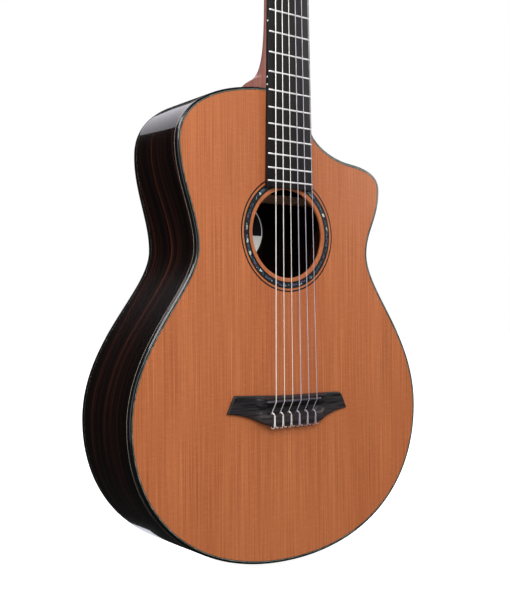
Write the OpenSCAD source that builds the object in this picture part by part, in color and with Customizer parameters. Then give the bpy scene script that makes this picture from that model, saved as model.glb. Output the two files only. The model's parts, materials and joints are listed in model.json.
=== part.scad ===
// Classical guitar with a soft cutaway, nylon strings and a slotted head. Real size, in millimetres.
// Origin: the neck's centre line, at the nut's string edge, in the plane of the soundboard's face.
// +X is the treble side, +Y runs from the soundboard to the back, +Z runs up the neck to the head.

/* [Scale and neck] */
// Length of the open strings, nut to saddle
scale_length = 650; // [645:1:655]
// Half width of the fingerboard at the nut
nut_half = 22.9; // [22.5:0.1:24]
// Widening of the fingerboard on each side, per millimetre of length
board_flare = 0.0184; // [0.016:0.0002:0.02]
// Thickness of the fingerboard
board_t = 5; // [4.6:0.1:5.4]
// Number of frets
fret_count = 18; // [16:1:18]
// Height of the string line over the neck's plane at the nut
nut_height = 6.6; // [6.4:0.1:7]
// Thickness of the nut along the strings
nut_t = 5; // [4.5:0.1:5.5]
// Depth of the neck's wood behind the fingerboard
neck_depth = 17.5; // [16:0.5:19]

/* [Body] */
// Length of the body
body_len = 500; // [495:1:505]
// Half width at the lower bout
lower_half = 191.5; // [188:0.5:195]
// Half width at the waist
waist_half = 115.6; // [113:0.2:118]
// Half width at the upper bout
upper_half = 137.6; // [136:0.1:139]
// Deepest point of the back behind the soundboard's face
body_deep = 101; // [98:1:104]
// Radius of the back's lengthwise arch
back_radius = 3000; // [2600:100:4000]
// Thickness of a side, and width of a binding
side_t = 2.2; // [2:0.1:2.4]
// Thickness of the soundboard
top_t = 2.4; // [2.2:0.1:2.6]
// Radius of the sound hole
hole_r = 47; // [45:0.5:48]

/* [Bridge and strings] */
// Height of the string line over the soundboard at the saddle
saddle_height = 12.5; // [12:0.1:13]
// String spacing at the nut
nut_spacing = 7.6; // [7.4:0.1:7.7]
// String spacing at the saddle
saddle_spacing = 11.1; // [10.8:0.1:11.3]

/* [Head and tuners] */
// Backward tilt of the head
head_angle = 13; // [12:0.5:14]
// Length of the head
head_len = 190; // [186:1:196]
// Half width of the head along its straight edges
head_half = 34; // [33.6:0.1:34.2]
// Thickness of the head's wood
head_t = 18; // [17.6:0.1:18.4]
// Distance from the nut to the first roller
first_roller = 62; // [60:1:63]
// Distance between rollers
roller_pitch = 35; // [34.6:0.2:35.4]
// Radius of a roller
roller_r = 5; // [4.8:0.1:5.1]

/* [Hidden] */
TUNERS = [1, 2, 3, 4, 5, 6];

$fn = 64;
FAR = 250;        // reach of a cutting block past the body
CLEAR = 0.05;     // radial clearance of a running fit, and of a glue line between halves

CEDAR = "#c87b50";
ROSEWOOD = "#3a1d17";
EBONY = "#26262a";
MAHOGANY = "#8c5140";
SPRUCE = "#d9b98a";
BRASS = "#c9a55a";
IVORY = "#ece4d2";

// ---- Curves and outlines -------------------------------------------------------------------------

// Height of fret n on the string
function fret_z(n) = -scale_length * (1 - pow(2, -n / 12));

// Half width of the fingerboard at height z
function board_half(z) = nut_half - board_flare * z;

function unit(v) = v / norm(v);

// Points of a cubic curve, without its last point
function bez(p, n = 20) = [for (i = [0:n - 1]) let (t = i / n, s = 1 - t)
    s * s * s * p[0] + 3 * s * s * t * p[1] + 3 * s * t * t * p[2] + t * t * t * p[3]];

function flip_x(p) = [for (q = p) [-q[0], q[1]]];

// A closed anticlockwise outline moved inwards by d, each corner mitred
function inset(p, d) = let (n = len(p)) [for (i = [0:n - 1])
    let (u = unit(p[i] - p[(i + n - 1) % n]), v = unit(p[(i + 1) % n] - p[i]), k = d / (1 + u * v))
    p[i] + k * [-(u + v)[1], (u + v)[0]]];

top_z = fret_z(12) + 4.3;         // crown of the body's outline, over the twelfth fret
seat_z = top_z - 1.8;             // flat end of the body, where the heel stands
tail_z = top_z - body_len;
upper_z = top_z - 68.3;
waist_z = top_z - 172;
lower_z = top_z - 345.6;
scoop = [90.2, top_z - 70.3];     // low point of the cutaway
horn = [135.6, top_z - 96.5];     // tip of the cutaway's horn
cut_x = 30.5;                     // wall of the cutaway beside the neck
cut_z = top_z - 29.3;

bass_waist = bez([[-upper_half, upper_z], [-upper_half, upper_z - 38], [-waist_half, waist_z + 32.2],
                  [-waist_half, waist_z]]);
lower_side = bez([[-waist_half, waist_z], [-waist_half, waist_z - 41.8], [-lower_half, lower_z + 80.8],
                  [-lower_half, lower_z]]);
tail_side = bez([[-lower_half, lower_z], [-lower_half, lower_z - 94.3], [-114.1, tail_z], [0, tail_z]]);
shoulder = [for (q = bez([[0, top_z], [-85.3, top_z], [-upper_half, upper_z + 42.3],
                          [-upper_half, upper_z]])) [q[0], min(q[1], seat_z)]];
horn_side = bez([[waist_half, waist_z], [waist_half, waist_z + 28.1], [horn[0], horn[1] - 34], horn]);
horn_top = bez([horn, horn + [0, 20.5], scoop + [16.6, -1.7], scoop]);
cutaway = bez([scoop, scoop + [-24.1, 2.4], [cut_x, cut_z - 24], [cut_x, cut_z]]);

// The same curve walked the other way, on the treble side
function mirrored_back(p, last) = let (q = flip_x(concat(p, [last])), n = len(q))
    [for (i = [n - 1:-1:1]) q[i]];

outline = concat(
    mirrored_back(tail_side, [0, tail_z]),
    mirrored_back(lower_side, [-lower_half, lower_z]),
    horn_side, horn_top, cutaway,
    [[cut_x, cut_z], [cut_x, seat_z]],
    shoulder, bass_waist, lower_side, tail_side);

// Depth of the back's outer face at height z
back_low_z = fret_z(12) - 355;
function back_y(z) = body_deep - back_radius + sqrt(back_radius * back_radius - pow(z - back_low_z, 2));

// An x-z shape made solid from y0 to y1
module slab(y0, y1) translate([0, y1, 0]) rotate([90, 0, 0]) linear_extrude(y1 - y0) children();

// A y-z shape made solid from x0 to x1
module along_x(x0, x1) translate([x0, 0, 0]) rotate([90, 0, 90]) linear_extrude(x1 - x0) children();

// A round bar along X, through the point [y, z]
module bar_x(x0, x1, at, r) translate([x0, at[0], at[1]]) rotate([0, 90, 0]) cylinder(r = r, h = x1 - x0);

// A round bar along Y, through the point [x, z]
module bar_y(y0, y1, at, r) translate([at[0], y0, at[1]]) rotate([-90, 0, 0]) cylinder(r = r, h = y1 - y0);

module body_plate(d, y0, y1) slab(y0, y1) polygon(inset(outline, d));

module body_ring(d0, d1, y0, y1) {
    outer = inset(outline, d0);
    n = len(outer);
    slab(y0, y1) polygon(concat(outer, inset(outline, d1)),
                         paths = [[for (i = [0:n - 1]) i], [for (i = [0:n - 1]) n + i]]);
}

// Everything in front of the back's outer face, less t millimetres
module before_back(t) {
    z0 = tail_z - 10;
    z1 = seat_z + 10;
    steps = 26;
    arch = [for (i = [0:steps]) let (z = z0 + (z1 - z0) * i / steps) [back_y(z) - t, z]];
    along_x(-FAR, FAR) polygon(concat(arch, [[-10, z1], [-10, z0]]));
}

module back_layer(t0, t1) difference() {
    before_back(t0);
    before_back(t1);
}

module half_space(side) translate([side > 0 ? CLEAR / 2 : -FAR, -FAR, -2 * scale_length])
    cube([FAR - CLEAR / 2, 2 * FAR, 4 * scale_length]);

// ---- Body ----------------------------------------------------------------------------------------

hole_z = fret_z(12) - 149.5;
purfling_w = 1.2;
binding_h = 6;
lining_w = 5.5;
lining_h = 12;
back_t = 2.4;
wedge_half = 5;
neck_block_half = 34;
neck_block_h = 50;
tail_block_half = 45;
tail_block_h = 22;
inlay_t = 1.2;
shell = [53.4, 56.2];
LINES = [[51.2, 53.4], [56.2, 58.3], [60.4, 62]];    // black rings of the rosette, inner and outer radius

module face_ring(r, y0, y1) difference() {
    bar_y(y0, y1, [0, hole_z], r[1]);
    bar_y(y0 - 1, y1 + 1, [0, hole_z], r[0]);
}

module soundboard() color(CEDAR) difference() {
    body_plate(side_t + purfling_w, 0, top_t);
    bar_y(-1, top_t + 1, [0, hole_z], hole_r);
    face_ring([LINES[0][0], LINES[1][1]], -1, inlay_t);
    face_ring(LINES[2], -1, inlay_t);
}

module rosette_shell() color("#8fa3a0") face_ring(shell, 0, inlay_t);

module rosette_lines() color("black") for (r = LINES) face_ring(r, 0, inlay_t);

module top_purfling() color("#5e6f60") body_ring(side_t, side_t + purfling_w, 0, top_t);

module top_binding() color("black") body_ring(0, side_t, 0, binding_h);

module back_binding() color("black") intersection() {
    body_ring(0, side_t, 40, body_deep + 5);
    back_layer(0, binding_h);
}

module side_wall() intersection() {
    body_ring(0, side_t, binding_h, body_deep + 5);
    before_back(binding_h);
}

module wedge_space() block_space(wedge_half, tail_z - 5, tail_z + 7);

module side_half(side) color(ROSEWOOD) difference() {
    intersection() {
        side_wall();
        half_space(side);
    }
    wedge_space();
}

module tail_wedge() color("black") intersection() {
    side_wall();
    wedge_space();
}

module back() color(ROSEWOOD) for (side = [-1, 1]) intersection() {
    body_plate(side_t, 40, body_deep + 5);
    back_layer(0, back_t);
    half_space(side);
}

module block_space(half, z0, z1) translate([-half, -1, z0]) cube([2 * half, body_deep + 10, z1 - z0]);

module neck_block_space() block_space(neck_block_half, seat_z - neck_block_h, seat_z + 5);

module tail_block_space() block_space(tail_block_half, tail_z - 5, tail_z + tail_block_h);

module cavity_block() intersection() {
    body_plate(side_t, top_t, body_deep + 5);
    before_back(back_t);
    children();
}

module neck_block() color(MAHOGANY) cavity_block() neck_block_space();

module tail_block() color(MAHOGANY) cavity_block() tail_block_space();

module linings() color(SPRUCE) difference() {
    union() {
        body_ring(side_t, side_t + lining_w, top_t, top_t + lining_h);
        intersection() {
            body_ring(side_t, side_t + lining_w, 40, body_deep + 5);
            back_layer(back_t, back_t + lining_h);
        }
    }
    neck_block_space();
    tail_block_space();
}

// Clear space inside the linings
module inner_space(y0, y1) body_plate(side_t + lining_w + 0.3, y0, y1);

// A straight bar across the body from z0 upwards
module cross_bar(z, w, y0, y1) translate([-FAR, y0, z - w / 2]) cube([2 * FAR, y1 - y0, w]);

plate_half = 80;
plate_z = [fret_z(12) - 349, fret_z(12) - 317];
fan_focus_z = top_z - 9.3;       // the fan's struts all point at this height
fan_reach = [235, 445];          // ends of a strut, measured from that point
fan_angle = 4;
bar_w = 8;
TOP_BARS = [hole_z + 70.5, hole_z - 74.5];
BACK_BARS = [seat_z - 103.5, seat_z - 207.5, seat_z - 307.5, seat_z - 407.5];
label_z = hole_z + 9;
label_r = 36;

module bridge_plate_space() translate([-plate_half, top_t, plate_z[0]])
    cube([2 * plate_half, 2, plate_z[1] - plate_z[0]]);

module top_braces() color(SPRUCE) {
    difference() {
        intersection() {
            inner_space(top_t, top_t + 20);
            union() {
                for (z = TOP_BARS) cross_bar(z, bar_w, top_t, top_t + 16);
                for (k = [-3:3]) translate([0, 0, fan_focus_z]) rotate([0, k * fan_angle, 0])
                    translate([-3, top_t, -fan_reach[1]]) cube([6, 5, fan_reach[1] - fan_reach[0]]);
            }
        }
        bridge_plate_space();
    }
    face_ring([hole_r + 1, 62], top_t, top_t + 1.2);
}

module bridge_plate() color(SPRUCE) bridge_plate_space();

module back_braces() color(SPRUCE) intersection() {
    inner_space(40, body_deep);
    back_layer(back_t, back_t + 15);
    union() for (z = BACK_BARS) cross_bar(z, bar_w, 40, body_deep);
}

module label() color("#202024") intersection() {
    bar_y(60, body_deep, [0, label_z], label_r);
    back_layer(back_t, back_t + 0.25);
}

// ---- Neck ----------------------------------------------------------------------------------------

heel_y = 77.5;               // flat end of the heel, under its cap
heel_full = 86;              // depth of the heel's ridge at the body, cut off at heel_y

// Half section of the neck: angle a runs from the treble edge round the back to the bass edge
function section(z, half, deep, px, py) = [for (i = [0:24]) let (a = 180 * i / 24, c = cos(a))
    [sign(c) * half * pow(abs(c), px), min(deep * pow(max(sin(a), 0), py), heel_y), z]];

heel_curve = bez([[seat_z + 87.5, 18], [seat_z + 24, 18.5], [seat_z + 15, 36], [seat_z + 14.5, 78]], 14);

// Stations of the heel's end, as height and ridge depth
HEEL_END = [[seat_z + 14.5, 78], [seat_z + 13, 81], [seat_z + 8, 84.5], [seat_z, heel_full]];
function heel_half(z) = board_half(z) - (z == seat_z ? 0.8 : 0);
neck_sections = concat(
    [section(nut_t, nut_half, neck_depth + 0.9, 0.35, 0.35),
     section(-2, nut_half, neck_depth + 0.6, 0.45, 0.45),
     section(-12, board_half(-12), neck_depth, 0.62, 0.62),
     section(-25, board_half(-25), neck_depth - 0.6, 0.8, 0.8),
     section(-45, board_half(-45), neck_depth - 0.6, 0.95, 0.95),
     section(-120, board_half(-120), neck_depth - 0.2, 1, 1),
     section(-180, board_half(-180), neck_depth + 0.2, 1, 1)],
    [for (q = heel_curve) let (rise = q[1] - 18)
        section(q[0], board_half(q[0]), q[1], 1 + rise / 110, 1 - rise / 300)],
    [for (q = HEEL_END) section(q[0], heel_half(q[0]), q[1], 1.5, 0.8)]);

// A closed solid through rings of equal length
module skin(rings) {
    n = len(rings[0]);
    m = len(rings);
    polyhedron(
        points = [for (r = rings) for (p = r) p],
        faces = concat(
            [for (k = [0:m - 2]) for (i = [0:n - 1]) let (j = (i + 1) % n, a = k * n + i, b = k * n + j)
                each [[a, b, b + n], [a, b + n, a + n]]],
            [[for (i = [n - 1:-1:0]) i]],
            [[for (i = [0:n - 1]) (m - 1) * n + i]]));
}

module neck() color(MAHOGANY) skin(neck_sections);

// Half width of the heel's flat end at a ridge depth of deep
function cap_half(deep, half) = half * pow(cos(asin(pow(heel_y / deep, 1 / 0.8))), 1.5);

module heel_cap() color(EBONY) {
    right = [for (q = HEEL_END) [cap_half(q[1], board_half(q[0])), q[0]]];
    slab(heel_y, back_y(seat_z))
        polygon(concat(right, [for (i = [len(right) - 1:-1:0]) [-right[i][0], right[i][1]]]));
}

board_end = fret_z(12) - 102;
dot_r = 1;
DOTS = [[5, 0], [7, 0], [9, 0], [12, -4], [12, 4]];      // fret of each side dot, and its shift up the neck
tang_w = 0.6;

module board_solid() slab(-board_t, 0) polygon([
    [-board_half(0), 0], [-board_half(board_end), board_end],
    [board_half(board_end), board_end], [board_half(0), 0]]);

module dot_bars() for (d = DOTS)
    bar_x(-board_half(board_end) - 2, -board_half(-100) + 2.5,
          [-board_t / 2, (fret_z(d[0]) + fret_z(d[0] - 1)) / 2 + d[1]], dot_r);

module tang(n, half, w, deep) translate([-half, -board_t, fret_z(n) - w / 2]) cube([2 * half, deep, w]);

module fingerboard() color(EBONY) difference() {
    board_solid();
    dot_bars();
    for (n = [1:fret_count]) translate([0, -1, 0]) tang(n, board_half(fret_z(n)) - 1.2, tang_w + 0.1, 3);
}

module side_dots() color("white") intersection() {
    board_solid();
    dot_bars();
}

module frets() color("silver") for (n = [1:fret_count]) {
    half = board_half(fret_z(n)) - 1.3;
    intersection() {
        bar_x(-half, half, [-board_t + 0.35, fret_z(n)], 1.35);
        translate([-half, -board_t - 2, fret_z(n) - 2]) cube([2 * half, 2, 4]);
    }
    tang(n, half, tang_w, 1.8);
}

// ---- Head ----------------------------------------------------------------------------------------

// The head's own frame: v runs from its face to its back, u runs along it from the nut's back edge
module head_frame() translate([0, 0, nut_t]) rotate([-head_angle, 0, 0]) children();

// A point [x, v, u] of the head's frame, in the guitar's frame
function head_point(p) = [p[0], p[1] * cos(head_angle) + p[2] * sin(head_angle),
                          nut_t - p[1] * sin(head_angle) + p[2] * cos(head_angle)];

// A point [x, y, z] of the guitar, in the head's frame
function in_head(p) = let (z = p[2] - nut_t) [p[0], p[1] * cos(head_angle) - z * sin(head_angle),
                                              p[1] * sin(head_angle) + z * cos(head_angle)];

veneer_t = 2;
slot_r = 7.5;
slot_x = 15.5;
slot_u = [45.5, 142.5];      // centres of the slot's round ends
roller_v = head_t / 2;       // depth of the rollers' axes

head_edge = concat([[nut_half + 0.1, -8]],
    bez([[nut_half + 0.1, 4], [nut_half + 0.1, 18], [head_half, 20], [head_half, 38]], 10),
    bez([[head_half, head_len - 22], [head_half, head_len - 6], [18, head_len], [0, head_len]], 12));
head_outline = concat(head_edge, [[0, head_len]],
                      [for (i = [len(head_edge) - 1:-1:0]) [-head_edge[i][0], head_edge[i][1]]]);

module head_slab(v0, v1) intersection() {
    difference() {
        head_frame() slab(v0, v1) polygon(head_outline);
        head_frame() for (s = [-1, 1]) head_slot(s);
    }
    translate([-FAR, -FAR, nut_t]) cube([2 * FAR, 2 * FAR, 2 * FAR]);
}

module head_slot(s) {
    slab(-5, head_t + 5) translate([s * slot_x, 0]) {
        translate([-slot_r, slot_u[0]]) square([2 * slot_r, slot_u[1] - slot_u[0]]);
        for (u = slot_u) translate([0, u]) circle(r = slot_r);
    }
    // Ramp that lets the outer string down into the slot
    along_x(s > 0 ? 14 : -23, s > 0 ? 23 : -14) polygon([[-4, 16], [2.4, 39.5], [2.4, 46], [-4, 46]]);
}

// Which side of the head, and which roller counted from the nut, belong to string s
function string_side(s) = s <= 3 ? 1 : -1;
function roller_row(s) = s <= 3 ? s - 1 : 6 - s;
function roller_u(s) = first_roller + roller_pitch * roller_row(s);

roller_end = 4.3;            // inner end of a roller in the head's centre bar

module headstock() color(MAHOGANY) difference() {
    head_slab(0, head_t);
    head_frame() for (s = TUNERS) mirror([string_side(s) < 0 ? 1 : 0, 0, 0])
        bar_x(roller_end - 0.3, head_half + 5, [roller_v, roller_u(s)], roller_r + CLEAR);
    head_frame() for (side = [0, 1]) mirror([side, 0, 0]) for (u = SCREWS)
        bar_x(screw_tip - 0.5, head_half + 5, [roller_v, u], screw_r + CLEAR);
}

module head_veneer() color(EBONY) head_slab(-veneer_t, 0);

module nut() color(IVORY) difference() {
    along_x(-nut_half, nut_half) polygon([[0, 0], [0, nut_t], [-7.2, nut_t], [-7.9, nut_t - 2], [-7.9, 0]]);
    for (s = TUNERS) translate([nut_x(s), -nut_height - string_r(s), -1]) {
        cylinder(r = string_r(s) + CLEAR, h = nut_t + 2);
        translate([-string_r(s) - CLEAR, -3, 0]) cube([2 * (string_r(s) + CLEAR), 3, nut_t + 2]);
    }
}

// ---- Bridge --------------------------------------------------------------------------------------

saddle_z = -scale_length - 0.9;
saddle_t = 2.5;
saddle_half = 37;
tie_z = [saddle_z - 26, saddle_z - 13.2];    // back and front face of the tie block
tie_hole_y = -4.6;
channel_y = -3;
wing_t = 3.2;

tie_half = 30;

// A point of the bridge's outline: dz is its height over the saddle
function by_saddle(x, dz) = [x, saddle_z + dz];

// The bass wing stands a little higher than the treble wing
bridge_edge = concat(
    bez([by_saddle(79.5, -13.2), by_saddle(76.5, -8), by_saddle(73.5, 3), by_saddle(69.5, 4.6)], 8),
    bez([by_saddle(69.5, 4.6), by_saddle(68, 5.6), by_saddle(40, 5.4), by_saddle(0, 5.4)], 8),
    bez([by_saddle(0, 5.4), by_saddle(-25, 5.6), by_saddle(-45, 7.4), by_saddle(-71.5, 8.4)], 8),
    bez([by_saddle(-71.5, 8.4), by_saddle(-74, 7), by_saddle(-77, -2), by_saddle(-81.5, -9.8)], 8),
    bez([by_saddle(-81.5, -9.8), by_saddle(-52, -12.6), by_saddle(-42, -22), by_saddle(-27, -26.1)], 16),
    bez([by_saddle(-27, -26.1), by_saddle(-10, -26.1), by_saddle(10, -26.1), by_saddle(30, -26.1)], 2),
    bez([by_saddle(30, -26.1), by_saddle(48, -21.5), by_saddle(58, -14.5), by_saddle(79.5, -13.2)], 16));

module bridge_block(half, z0, z1, height) intersection() {
    translate([-half, -height, z0]) cube([2 * half, height, z1 - z0]);
    slab(-height - 1, 1) polygon(bridge_edge);
}

module bridge() color(EBONY) difference() {
    union() {
        slab(-wing_t, 0) polygon(bridge_edge);
        bridge_block(39, saddle_z - 3.7, saddle_z + 4.3, 8.6);
        bridge_block(tie_half, tie_z[0], tie_z[1], 8.4);
    }
    translate([-saddle_half - 0.2, -10, saddle_z - saddle_t / 2]) cube([2 * saddle_half + 0.4, 5, saddle_t]);
    translate([-tie_half, -5, tie_z[1]]) cube([2 * tie_half, 5 + channel_y, saddle_z - 3.7 - tie_z[1]]);
    for (s = TUNERS) translate([saddle_x(s), tie_hole_y, tie_z[0] - 1])
        cylinder(r = 0.95, h = tie_z[1] - tie_z[0] + 2);
}

module saddle() color(EBONY) translate([0, 0, saddle_z]) along_x(-saddle_half, saddle_half) polygon([
    [-5, -saddle_t / 2], [-5, saddle_t / 2], [-saddle_height + 0.2, saddle_t / 2],
    [-saddle_height, 0.6], [-saddle_height, 0], [-saddle_height + 1, -saddle_t / 2]]);

// ---- Strings -------------------------------------------------------------------------------------

STRING_D = [0.71, 0.82, 1.02, 0.76, 0.9, 1.1];       // string 1, the highest, to string 6
WINDING_X = [18.6, 14, 14, 14, 14, 18.6];            // where each winding starts on its roller
WINDING_WAY = [-1, 1, 1, 1, 1, -1];                  // 1 winds outwards along the roller, -1 inwards
winding_turns = 4;
winding_steps = 12;          // straight lengths in one turn
winding_gap = 0.25;          // a turn's corners stand off the roller, so that its flats clear it too

function string_r(s) = STRING_D[s - 1] / 2;
function nut_x(s) = (3.5 - s) * nut_spacing;
function saddle_x(s) = (3.5 - s) * saddle_spacing;
function winding_r(s) = roller_r + string_r(s) + winding_gap;
function winding_x(s) = string_side(s) * WINDING_X[s - 1];

// Where the string leaving the nut at the point n, as [u, v], first touches the circle round c
function touch(n, c, r) = let (w = c - n, d = norm(w), g = atan2(w[1], w[0]) - asin(r / d))
    n + sqrt(d * d - r * r) * [cos(g), sin(g)];

function nut_back(s) = [nut_x(s), -nut_height - string_r(s), nut_t];
function touch_point(s) = let (h = in_head(nut_back(s)),
    t = touch([h[2], h[1]], [roller_u(s), roller_v], winding_r(s))) [winding_x(s), t[1], t[0]];

// Rings of a round cord of radius r through the points p
function cord_rings(p, r, sides = 8) = let (m = len(p)) [for (k = [0:m - 1])
    let (t = unit(p[min(k + 1, m - 1)] - p[max(k - 1, 0)]), n = unit([1, 0, 0] - t[0] * t), b = cross(t, n))
    [for (i = [0:sides - 1]) let (a = -360 * (i + 0.5) / sides) p[k] + r * (cos(a) * n + sin(a) * b)]];

// The string's way through its hole and back over the tie block, as [y, z] behind the saddle
TIE_ROUTE = [[-4.75, -12.6], [tie_hole_y, -14], [tie_hole_y, -26.6], [-5, -27.6], [-6.2, -28.2],
             [-8, -28.2], [-9, -27.4], [-9.2, -26], [-9.25, -20], [-9.2, -14], [-8.8, -13], [-7.6, -12.4]];
KNOT_X = [0, 0, 0, 0, 0.2, 0.5, 0.9, 1.1, 1.3, 1.5, 1.6, 1.7];    // how far the loop leans aside

module one_string(s) {
    saddle_top = [saddle_x(s), -saddle_height - string_r(s), saddle_z];
    tie = [for (k = [0:len(TIE_ROUTE) - 1])
        [saddle_x(s) + KNOT_X[k], TIE_ROUTE[k][0], saddle_z + TIE_ROUTE[k][1]]];
    nut_front = [nut_x(s), -nut_height - string_r(s), 0];
    difference() {
        skin(cord_rings(concat([head_point(touch_point(s)), nut_back(s), nut_front, saddle_top], tie),
                        string_r(s)));
        // Room for the winding to turn with its roller
        head_frame() bar_x(winding_x(s) - 8, winding_x(s) + 8, [roller_v, roller_u(s)],
                           winding_r(s) + string_r(s) + 0.12);
    }
}

module strings() color("#d8d4d8") for (s = TUNERS) one_string(s);

module winding(s) color("#d8d4d8") head_frame() {
    t = touch_point(s);
    r = winding_r(s);
    start = atan2(t[2] - roller_u(s), roller_v - t[1]);
    step = string_side(s) * WINDING_WAY[s - 1] * (STRING_D[s - 1] + 0.08);
    skin(cord_rings([for (i = [0:winding_steps * winding_turns]) let (a = start + 360 / winding_steps * i)
        [t[0] + step * i / winding_steps, roller_v - r * cos(a), roller_u(s) + r * sin(a)]], string_r(s)));
}

// ---- Tuners --------------------------------------------------------------------------------------

gear_teeth = 14;
gear_module = 0.8;                           // pitch diameter over the number of teeth
gear_pitch_r = gear_teeth * gear_module / 2;
gear_outer_r = gear_pitch_r + 0.75;
gear_root_r = gear_pitch_r - 0.95;
worm_pitch_r = 2.6;
worm_core_r = 1.6;
worm_outer_r = worm_pitch_r + 0.6;
worm_gap = gear_pitch_r + worm_pitch_r;      // from the roller's axis to the worm's axis
worm_half = 4.4;                             // half length of the thread
plate_t = 1.2;
plate_end_r = 8;
plate_u = [54, 148];                         // centres of the plate's round ends
gear_x = [head_half + plate_t + 2, head_half + plate_t + 5.5];
worm_x = (gear_x[0] + gear_x[1]) / 2;
shaft_r = 2.5;
worm_shaft_r = 1.5;
ear_v = [5.2, 6.8];                          // inner and outer face of a worm's bearing ear
screw_r = 1.2;
screw_tip = head_half - 8;
SCREWS = [50, first_roller + 20.5, first_roller + roller_pitch + 20.5, 152];

module on_side(s) head_frame() mirror([string_side(s) < 0 ? 1 : 0, 0, 0]) children();

module tuner_plate() difference() {
    union() {
        along_x(head_half, head_half + plate_t) translate([roller_v, 0]) {
            translate([-plate_end_r, plate_u[0]]) square([2 * plate_end_r, plate_u[1] - plate_u[0]]);
            for (u = plate_u) translate([0, u]) circle(r = plate_end_r);
        }
        for (row = [0:2]) for (way = [-1, 1])
            translate([head_half + plate_t - 0.2, roller_v + way * (ear_v[0] + ear_v[1]) / 2,
                       first_roller + roller_pitch * row + worm_gap])
                translate([0, -(ear_v[1] - ear_v[0]) / 2, -2.9]) cube([7.1, ear_v[1] - ear_v[0], 5.8]);
    }
    for (row = [0:2]) {
        u = first_roller + roller_pitch * row;
        bar_x(head_half - 1, head_half + plate_t + 1, [roller_v, u], shaft_r + CLEAR);
        bar_y(roller_v - 8, roller_v + 8, [worm_x, u + worm_gap], worm_shaft_r + CLEAR);
    }
    for (u = SCREWS) bar_x(head_half - 1, head_half + 5, [roller_v, u], screw_r + CLEAR);
}

module tuner_plates() color(BRASS) head_frame() for (side = [0, 1]) mirror([side, 0, 0]) tuner_plate();

module tuner_screws() color(BRASS) head_frame() for (side = [0, 1]) mirror([side, 0, 0]) for (u = SCREWS) {
    bar_x(screw_tip, head_half + plate_t + 0.5, [roller_v, u], screw_r);
    translate([head_half + plate_t, roller_v, u]) rotate([0, 90, 0]) cylinder(r1 = 2.5, r2 = 1.8, h = 1.1);
}

module roller(s) color(IVORY) on_side(s) difference() {
    union() {
        bar_x(roller_end, head_half - 0.2, [roller_v, roller_u(s)], roller_r);
        bar_x(head_half - 0.3, gear_x[1], [roller_v, roller_u(s)], shaft_r);
    }
    bar_x(gear_x[1] - 5, gear_x[1] + 1, [roller_v, roller_u(s)], 1 + CLEAR);
}

// Teeth of the gear as [v, u] points, one tooth pointing along +u
gear_outline = [for (k = [0:gear_teeth - 1]) let (c = 360 * k / gear_teeth)
    for (q = [[gear_root_r, -8.2], [gear_outer_r, -2.9], [gear_outer_r, 2.9], [gear_root_r, 8.2]])
        q[0] * [sin(c + q[1]), cos(c + q[1])]];

module gear(s) color(BRASS) on_side(s) {
    difference() {
        along_x(gear_x[0], gear_x[1]) translate([roller_v, roller_u(s)]) polygon(gear_outline);
        bar_x(gear_x[0] - 1, gear_x[1] + 1, [roller_v, roller_u(s)], shaft_r);
    }
    // Its fixing screw
    bar_x(gear_x[1] - 4.5, gear_x[1] + 0.5, [roller_v, roller_u(s)], 1);
    bar_x(gear_x[1] + CLEAR, gear_x[1] + 1.2, [roller_v, roller_u(s)], 2.8);
}

worm_lead = 2 * PI * gear_pitch_r / gear_teeth;

// Right-handed thread round Z: its gap faces +x at z = 0
module worm_thread() {
    turns = 2 * worm_half / worm_lead - 0.5;
    steps = 18;
    count = ceil(turns * steps);
    skin([for (i = [0:count]) let (
        a = 180 + 360 * (i - count / 2) / steps,
        z = worm_lead * (i - count / 2) / steps,
        rise = min(1, 4 * min(i, count - i) / steps),
        outer = worm_core_r + 0.05 + (worm_outer_r - worm_core_r) * rise)
        [for (q = [[worm_core_r - 0.3, -0.5], [outer, -0.24], [outer, 0.24], [worm_core_r - 0.3, 0.5]])
            [q[0] * cos(a), q[0] * sin(a), z + q[1]]]]);
}

// The worm's own frame: Z along its axis towards the back, +x facing the gear
module worm_frame(s) head_frame()
    translate([string_side(s) * worm_x, roller_v, roller_u(s) + worm_gap])
        rotate([-90, 0, 0]) rotate([0, 0, 90]) children();

button_z = [head_t / 2 + 3, head_t / 2 + 16];      // along the worm's axis, behind the head's back face

module worm(s) color(BRASS) worm_frame(s) {
    translate([0, 0, -8]) cylinder(r = worm_shaft_r, h = button_z[0] + 6 + 8);
    translate([0, 0, -worm_half]) cylinder(r = worm_core_r, h = 2 * worm_half);
    translate([0, 0, ear_v[1] + 0.1]) cylinder(r = 2.3, h = button_z[0] - ear_v[1] - 0.2);
    worm_thread();
}

button_edge = concat(
    bez([[0, 0], [4, 0], [4.6, 1.5], [6.2, 3.4]], 6),
    bez([[6.2, 3.4], [8.2, 5.8], [8, 10], [4.8, 12.2]], 8),
    bez([[4.8, 12.2], [3.2, 13.2], [1.6, 13], [0, 13]], 5));

module button(s) color("#1c1c1e") worm_frame(s) translate([0, 0, button_z[0]]) difference() {
    rotate([90, 0, 0]) translate([0, 0, -3.5]) linear_extrude(7)
        polygon(concat(button_edge, mirrored_back(button_edge, [0, 13])));
    translate([0, 0, -1]) cylinder(r = worm_shaft_r, h = 7);
}

// ---- The guitar ----------------------------------------------------------------------------------

soundboard();
back();
side_half(-1);  // side_bass
side_half(1);  // side_treble
tail_wedge();
top_binding();
back_binding();
top_purfling();
neck_block();
tail_block();
linings();
top_braces();
bridge_plate();
back_braces();
rosette_shell();
rosette_lines();
label();
neck();
headstock();
heel_cap();
head_veneer();
fingerboard();
frets();
side_dots();
nut();
saddle();
bridge();
tuner_plates();
tuner_screws();
strings();
for (s = TUNERS) {
    roller(s);
    gear(s);
    worm(s);
    button(s);
    winding(s);
}
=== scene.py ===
"""Classical guitar with a soft cutaway: the looks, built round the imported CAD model.

The frame is the CAD's: +X the treble side, +Y from the soundboard to the back, +Z up the neck.
Shapes here are worked out in millimetres and turned into metres as each mesh is made.
"""

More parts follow.
